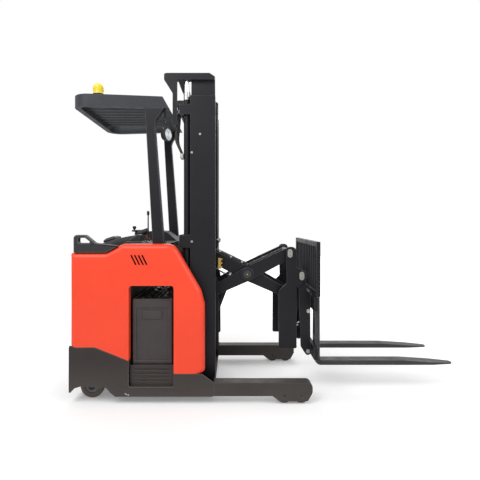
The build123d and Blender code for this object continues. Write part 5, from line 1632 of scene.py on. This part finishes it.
@dataclass
class Reach:
    """Scissor reach linkage between the support frame and the front frame."""

    rear_pin: Flat = (-0.499, 1.097)
    front_pin: Flat = (0.183, 1.097)
    rear_roller: Flat = (-0.499, 0.755)
    tilt_pin: Flat = (0.278, 0.916)
    middle_pin: Flat = (-0.158, 0.926)
    slope: float = math.atan2(0.342, 0.682)
    frame_y: float = 0.277
    keeper_half: float = 0.020
    clip: tuple[Flat, ...] = ((0.0068, -0.008), (0.0088, -0.007), (0.0088, 0.007), (0.0068, 0.008))

    def build(self, trees: Trees) -> None:
        """Build and dress the linkage.

        Args:
            trees: Repeat trees.
        """
        for node in ("support_frame", "scissor_arm_inner", "scissor_arm_outer", "front_frame"):
            dress(node, MAST_BLACK, MAST_EDGE, 0.003, 2)
        for node in ("reach_cylinder_barrel", "tilt_cylinder_barrel"):
            dress(node, MAST_BLACK, MAST_EDGE, 0.002)
        for node in ("reach_cylinder_rod", "tilt_cylinder_rod"):
            dress(node, CHROME, None, 0.001)
        for index, at in enumerate((self.front_pin, self.tilt_pin)):
            self.keeper(f"pin_keeper_{index}", at)
            screws = both_sides([(at[0], at[1] + dz) for dz in (-0.016, 0.016)], self.frame_y + 0.0045)
            trees.bolts(f"keeper_screws_{index}", "reach_front", screws, 0.006, STEEL)
        caps = (("pivot_caps", 0.238, 0.034, MAST_EDGE), ("pivot_nipples", 0.2435, 0.006, BRASS))
        for name, y, radius, finish in caps:
            trees.caps(name, "outer_arms", both_sides([self.middle_pin], y), (radius, 0.006), finish)
        self.hoses()

    def keeper(self, name: str, at: Flat) -> None:
        """Screw an upright oval keeper plate over a pin of the front frame on both sides.

        Args:
            name: Piece name.
            at: Pin centre as x and z.
        """
        shape = bmesh.new()
        top = arc((at[0], at[1] + 0.014), self.keeper_half, 0.0, 180.0, 10)
        low = arc((at[0], at[1] - 0.014), self.keeper_half, 180.0, 360.0, 10)
        for side in Side:
            prism(shape, top + low, (side.value * self.frame_y, side.value * (self.frame_y + 0.005)))
        plate = make_object(name, shape, [ZINC])
        soften(plate, 0.0015)
        place(plate, "reach_front", "steel")

    def arm_point(self, along: float, above: float, rising: bool) -> Flat:
        """Return a point beside an arm.

        Args:
            along: Distance from the arm's rear end.
            above: Height over its centre line, square to it.
            rising: True for the outer arm, which rises forward.

        Returns:
            The point as x and z.
        """
        start = self.rear_roller if rising else self.rear_pin
        way = 1.0 if rising else -1.0
        cos, sin = math.cos(self.slope), math.sin(self.slope)
        return (start[0] + along * cos - way * above * sin, start[1] + way * along * sin + above * cos)

    def hoses(self) -> None:
        """Clip hoses along the upper and lower edges of the right-hand arms."""
        table = [
            ("inner_arm_hoses", "inner_arms", False, (0.1835, 0.1965),
             [(0.03, 0.0585), (0.10, 0.0600), (0.20, 0.0625), (0.30, 0.0660), (0.36, 0.0680)]),
            ("inner_arm_low_hoses", "inner_arms", False, (0.1900,),
             [(0.045, -0.082), (0.12, -0.080), (0.21, -0.081), (0.30, -0.083), (0.37, -0.076)]),
            ("outer_arm_hoses", "outer_arms", True, (0.2170, 0.2300),
             [(0.40, 0.0675), (0.48, 0.0650), (0.56, 0.0625), (0.64, 0.0600), (0.72, 0.0580)]),
        ]
        for name, body, rising, ys, rows in table:
            route = [self.arm_point(along, above, rising) for along, above in rows]
            lines = [[(x, -y, z) for x, z in route] for y in ys]
            place(tube_mesh(name, lines, 0.0068, HOSE), body, "plastic")
            way = Vector((math.cos(self.slope), 0.0, math.sin(self.slope) * (1.0 if rising else -1.0)))
            shape = bmesh.new()
            for x, z in route[1:-1]:
                for y in ys:
                    lathe(shape, self.clip, (x, -y, z), way, 0, 20)
            place(make_object(f"{name}_clips", shape, [MAST_EDGE if rising else ZINC]), body, "steel")
        self.valve()

    def valve(self) -> None:
        """Set the brass valve block with its unions on a bracket of the support frame's right plate."""
        shape = bmesh.new()
        block(shape, (-0.470, -0.2815, 1.002), (-0.372, -0.2775, 1.040), 1)
        block(shape, (-0.394, -0.3030, 0.976), (-0.370, -0.2815, 1.062), 0)
        union = [(0.0, 0.0), (0.0075, 0.0), (0.0075, 0.007), (0.0060, 0.010), (0.0, 0.010)]
        for z in (0.990, 1.020, 1.050):
            lathe(shape, union, (-0.370, -0.292, z), Axis.X, 0, 6)
        obj = make_object("reach_valve", shape, [BRASS, MAST_BLACK])
        soften(obj, 0.0015)
        place(obj, "reach_support", "steel")


@dataclass
class LoadEnd:
    """Fork carriage, forks and load backrest."""

    plate_y: float = 0.256
    bolt_rows: tuple[Flat, ...] = ((0.335, 0.631), (0.331, 0.308))

    def build(self, trees: Trees) -> None:
        """Build and dress the load end.

        Args:
            trees: Repeat trees.
        """
        dress("fork_carriage", MAST_BLACK, MAST_EDGE, 0.003, 2)
        dress("load_backrest", MAST_BLACK, MAST_EDGE, 0.0025, 2)
        for node in ("fork_right", "fork_left"):
            dress(node, FORK_BLACK, FORK_EDGE, 0.003, 3)
        trees.bolts("carriage_bolts", "carriage", both_sides(self.bolt_rows, self.plate_y), 0.012)
        locks = [((0.402, y, 0.788), UP) for y in (-0.240, 0.240)]
        trees.caps("fork_locks", "carriage", locks, (0.012, 0.020), ZINC)
        brackets = [((0.376, y, z), FRONT) for y in (-0.360, 0.360) for z in (0.776, 0.812)]
        trees.bolts("backrest_bolts", "carriage", brackets, 0.009)


@dataclass
class Studio:
    """Pale floor, soft lights and the camera of the photograph's view."""

    camera_at: Point = (-0.2745, -3.733, 1.333)
    focal_px: float = 431.0
    frame_px: float = 480.0
    centre_px: Flat = (233.0, 224.0)
    glow: tuple[float, float, float, float] = (1.6, 4.5, 0.22, 1.0)
    white: tuple[float, float, float, float] = (1.0, 1.0, 1.0, 1.0)
    soft_light: float = 0.55

    def build(self) -> None:
        """Build the studio."""
        self.camera()
        self.floor()
        self.world()
        self.light("key", (-2.6, -3.6, 4.6), (-0.2, 0.0, 0.9), 3.2, 150.0)
        self.light("fill", (3.4, -3.0, 3.2), (0.2, 0.0, 0.8), 3.0, 70.0)
        self.light("back", (-0.5, 3.8, 4.2), (-0.3, 0.0, 1.0), 3.0, 90.0)
        bpy.context.scene.view_settings.view_transform = "Standard"

    def camera(self) -> None:
        """Set the camera level, looking along +Y."""
        data = bpy.data.cameras.new("camera")
        data.sensor_width = 36.0
        data.lens = self.focal_px / self.frame_px * data.sensor_width
        data.shift_x = (self.frame_px / 2.0 - self.centre_px[0]) / self.frame_px
        data.shift_y = (self.centre_px[1] - self.frame_px / 2.0) / self.frame_px
        data.clip_end = 60.0
        obj = link_in(bpy.data.objects.new("camera", data))
        obj.location = self.camera_at
        obj.rotation_euler = (math.pi / 2.0, 0.0, 0.0)
        bpy.context.scene.camera = obj

    def floor(self) -> None:
        """Lay the pale floor, which keeps the truck's shadow."""
        shape = bmesh.new()
        bmesh.ops.create_grid(shape, x_segments=2, y_segments=2, size=14.0)
        finish = Finish("studio_floor", (0.90, 0.90, 0.90), (0.89, 0.89, 0.89), (0.8, 0.9), grain=0.0,
                        specular=0.1)
        obj = make_object("floor", shape, [finish])
        tree = finish.material().node_tree
        where = tree.nodes.new("ShaderNodeTexCoord").outputs["Object"]
        away = add_node(tree, "ShaderNodeVectorMath", {0: where}, operation="LENGTH").outputs["Value"]
        seen = tree.nodes.new("ShaderNodeLightPath").outputs["Is Camera Ray"]
        share = {0: seen, 1: remap(tree, away, *self.glow)}
        strength = add_node(tree, "ShaderNodeMath", share, operation="MULTIPLY").outputs["Value"]
        glow = add_node(tree, "ShaderNodeEmission", {"Color": self.white, "Strength": strength})
        lit = tree.nodes["Principled BSDF"].outputs["BSDF"]
        both = add_node(tree, "ShaderNodeAddShader", {0: lit, 1: glow.outputs["Emission"]})
        tree.links.new(both.outputs["Shader"], tree.nodes["Material Output"].inputs["Surface"])

    def world(self) -> None:
        """Set a white surround for the camera and reflections, and a plain soft light."""
        world = bpy.data.worlds.new("surround")
        bpy.context.scene.world = world
        world.use_nodes = True
        tree = world.node_tree
        soft = tree.nodes["Background"]
        soft.inputs["Color"].default_value = self.white
        soft.inputs["Strength"].default_value = self.soft_light
        bright = add_node(tree, "ShaderNodeBackground", {"Color": self.white, "Strength": 1.0})
        rays = tree.nodes.new("ShaderNodeLightPath").outputs
        shown = rays["Is Camera Ray"]
        for name in ("Is Glossy Ray", "Is Transmission Ray"):
            either = add_node(tree, "ShaderNodeMath", {0: shown, 1: rays[name]}, operation="MAXIMUM")
            shown = either.outputs["Value"]
        parts = {"Fac": shown, 1: soft.outputs["Background"], 2: bright.outputs["Background"]}
        blend = add_node(tree, "ShaderNodeMixShader", parts)
        tree.links.new(blend.outputs["Shader"], tree.nodes["World Output"].inputs["Surface"])

    def light(self, name: str, at: Point, aim: Point, size: float, power: float) -> None:
        """Hang a soft area light.

        Args:
            name: Light name.
            at: Place of the light.
            aim: Point that it looks at.
            size: Side of the square light.
            power: Power in watts.
        """
        data = bpy.data.lights.new(name, "AREA")
        data.size = size
        data.energy = power
        obj = link_in(bpy.data.objects.new(name, data))
        obj.location = at
        obj.rotation_euler = (Vector(aim) - Vector(at)).to_track_quat("-Z", "Y").to_euler()


def main() -> None:
    """Build the truck's sub-assemblies in order, then the studio."""
    logging.basicConfig(level=logging.INFO, format="%(message)s")
    trees = Trees()
    Base().build(trees)
    Wheels().build(trees)
    Body().build(trees)
    OperatorPlace().build(trees, Soft())
    Guard().build(trees)
    Mast().build(trees)
    Reach().build(trees)
    LoadEnd().build(trees)
    Studio().build()


if __name__ == "__main__":
    main()
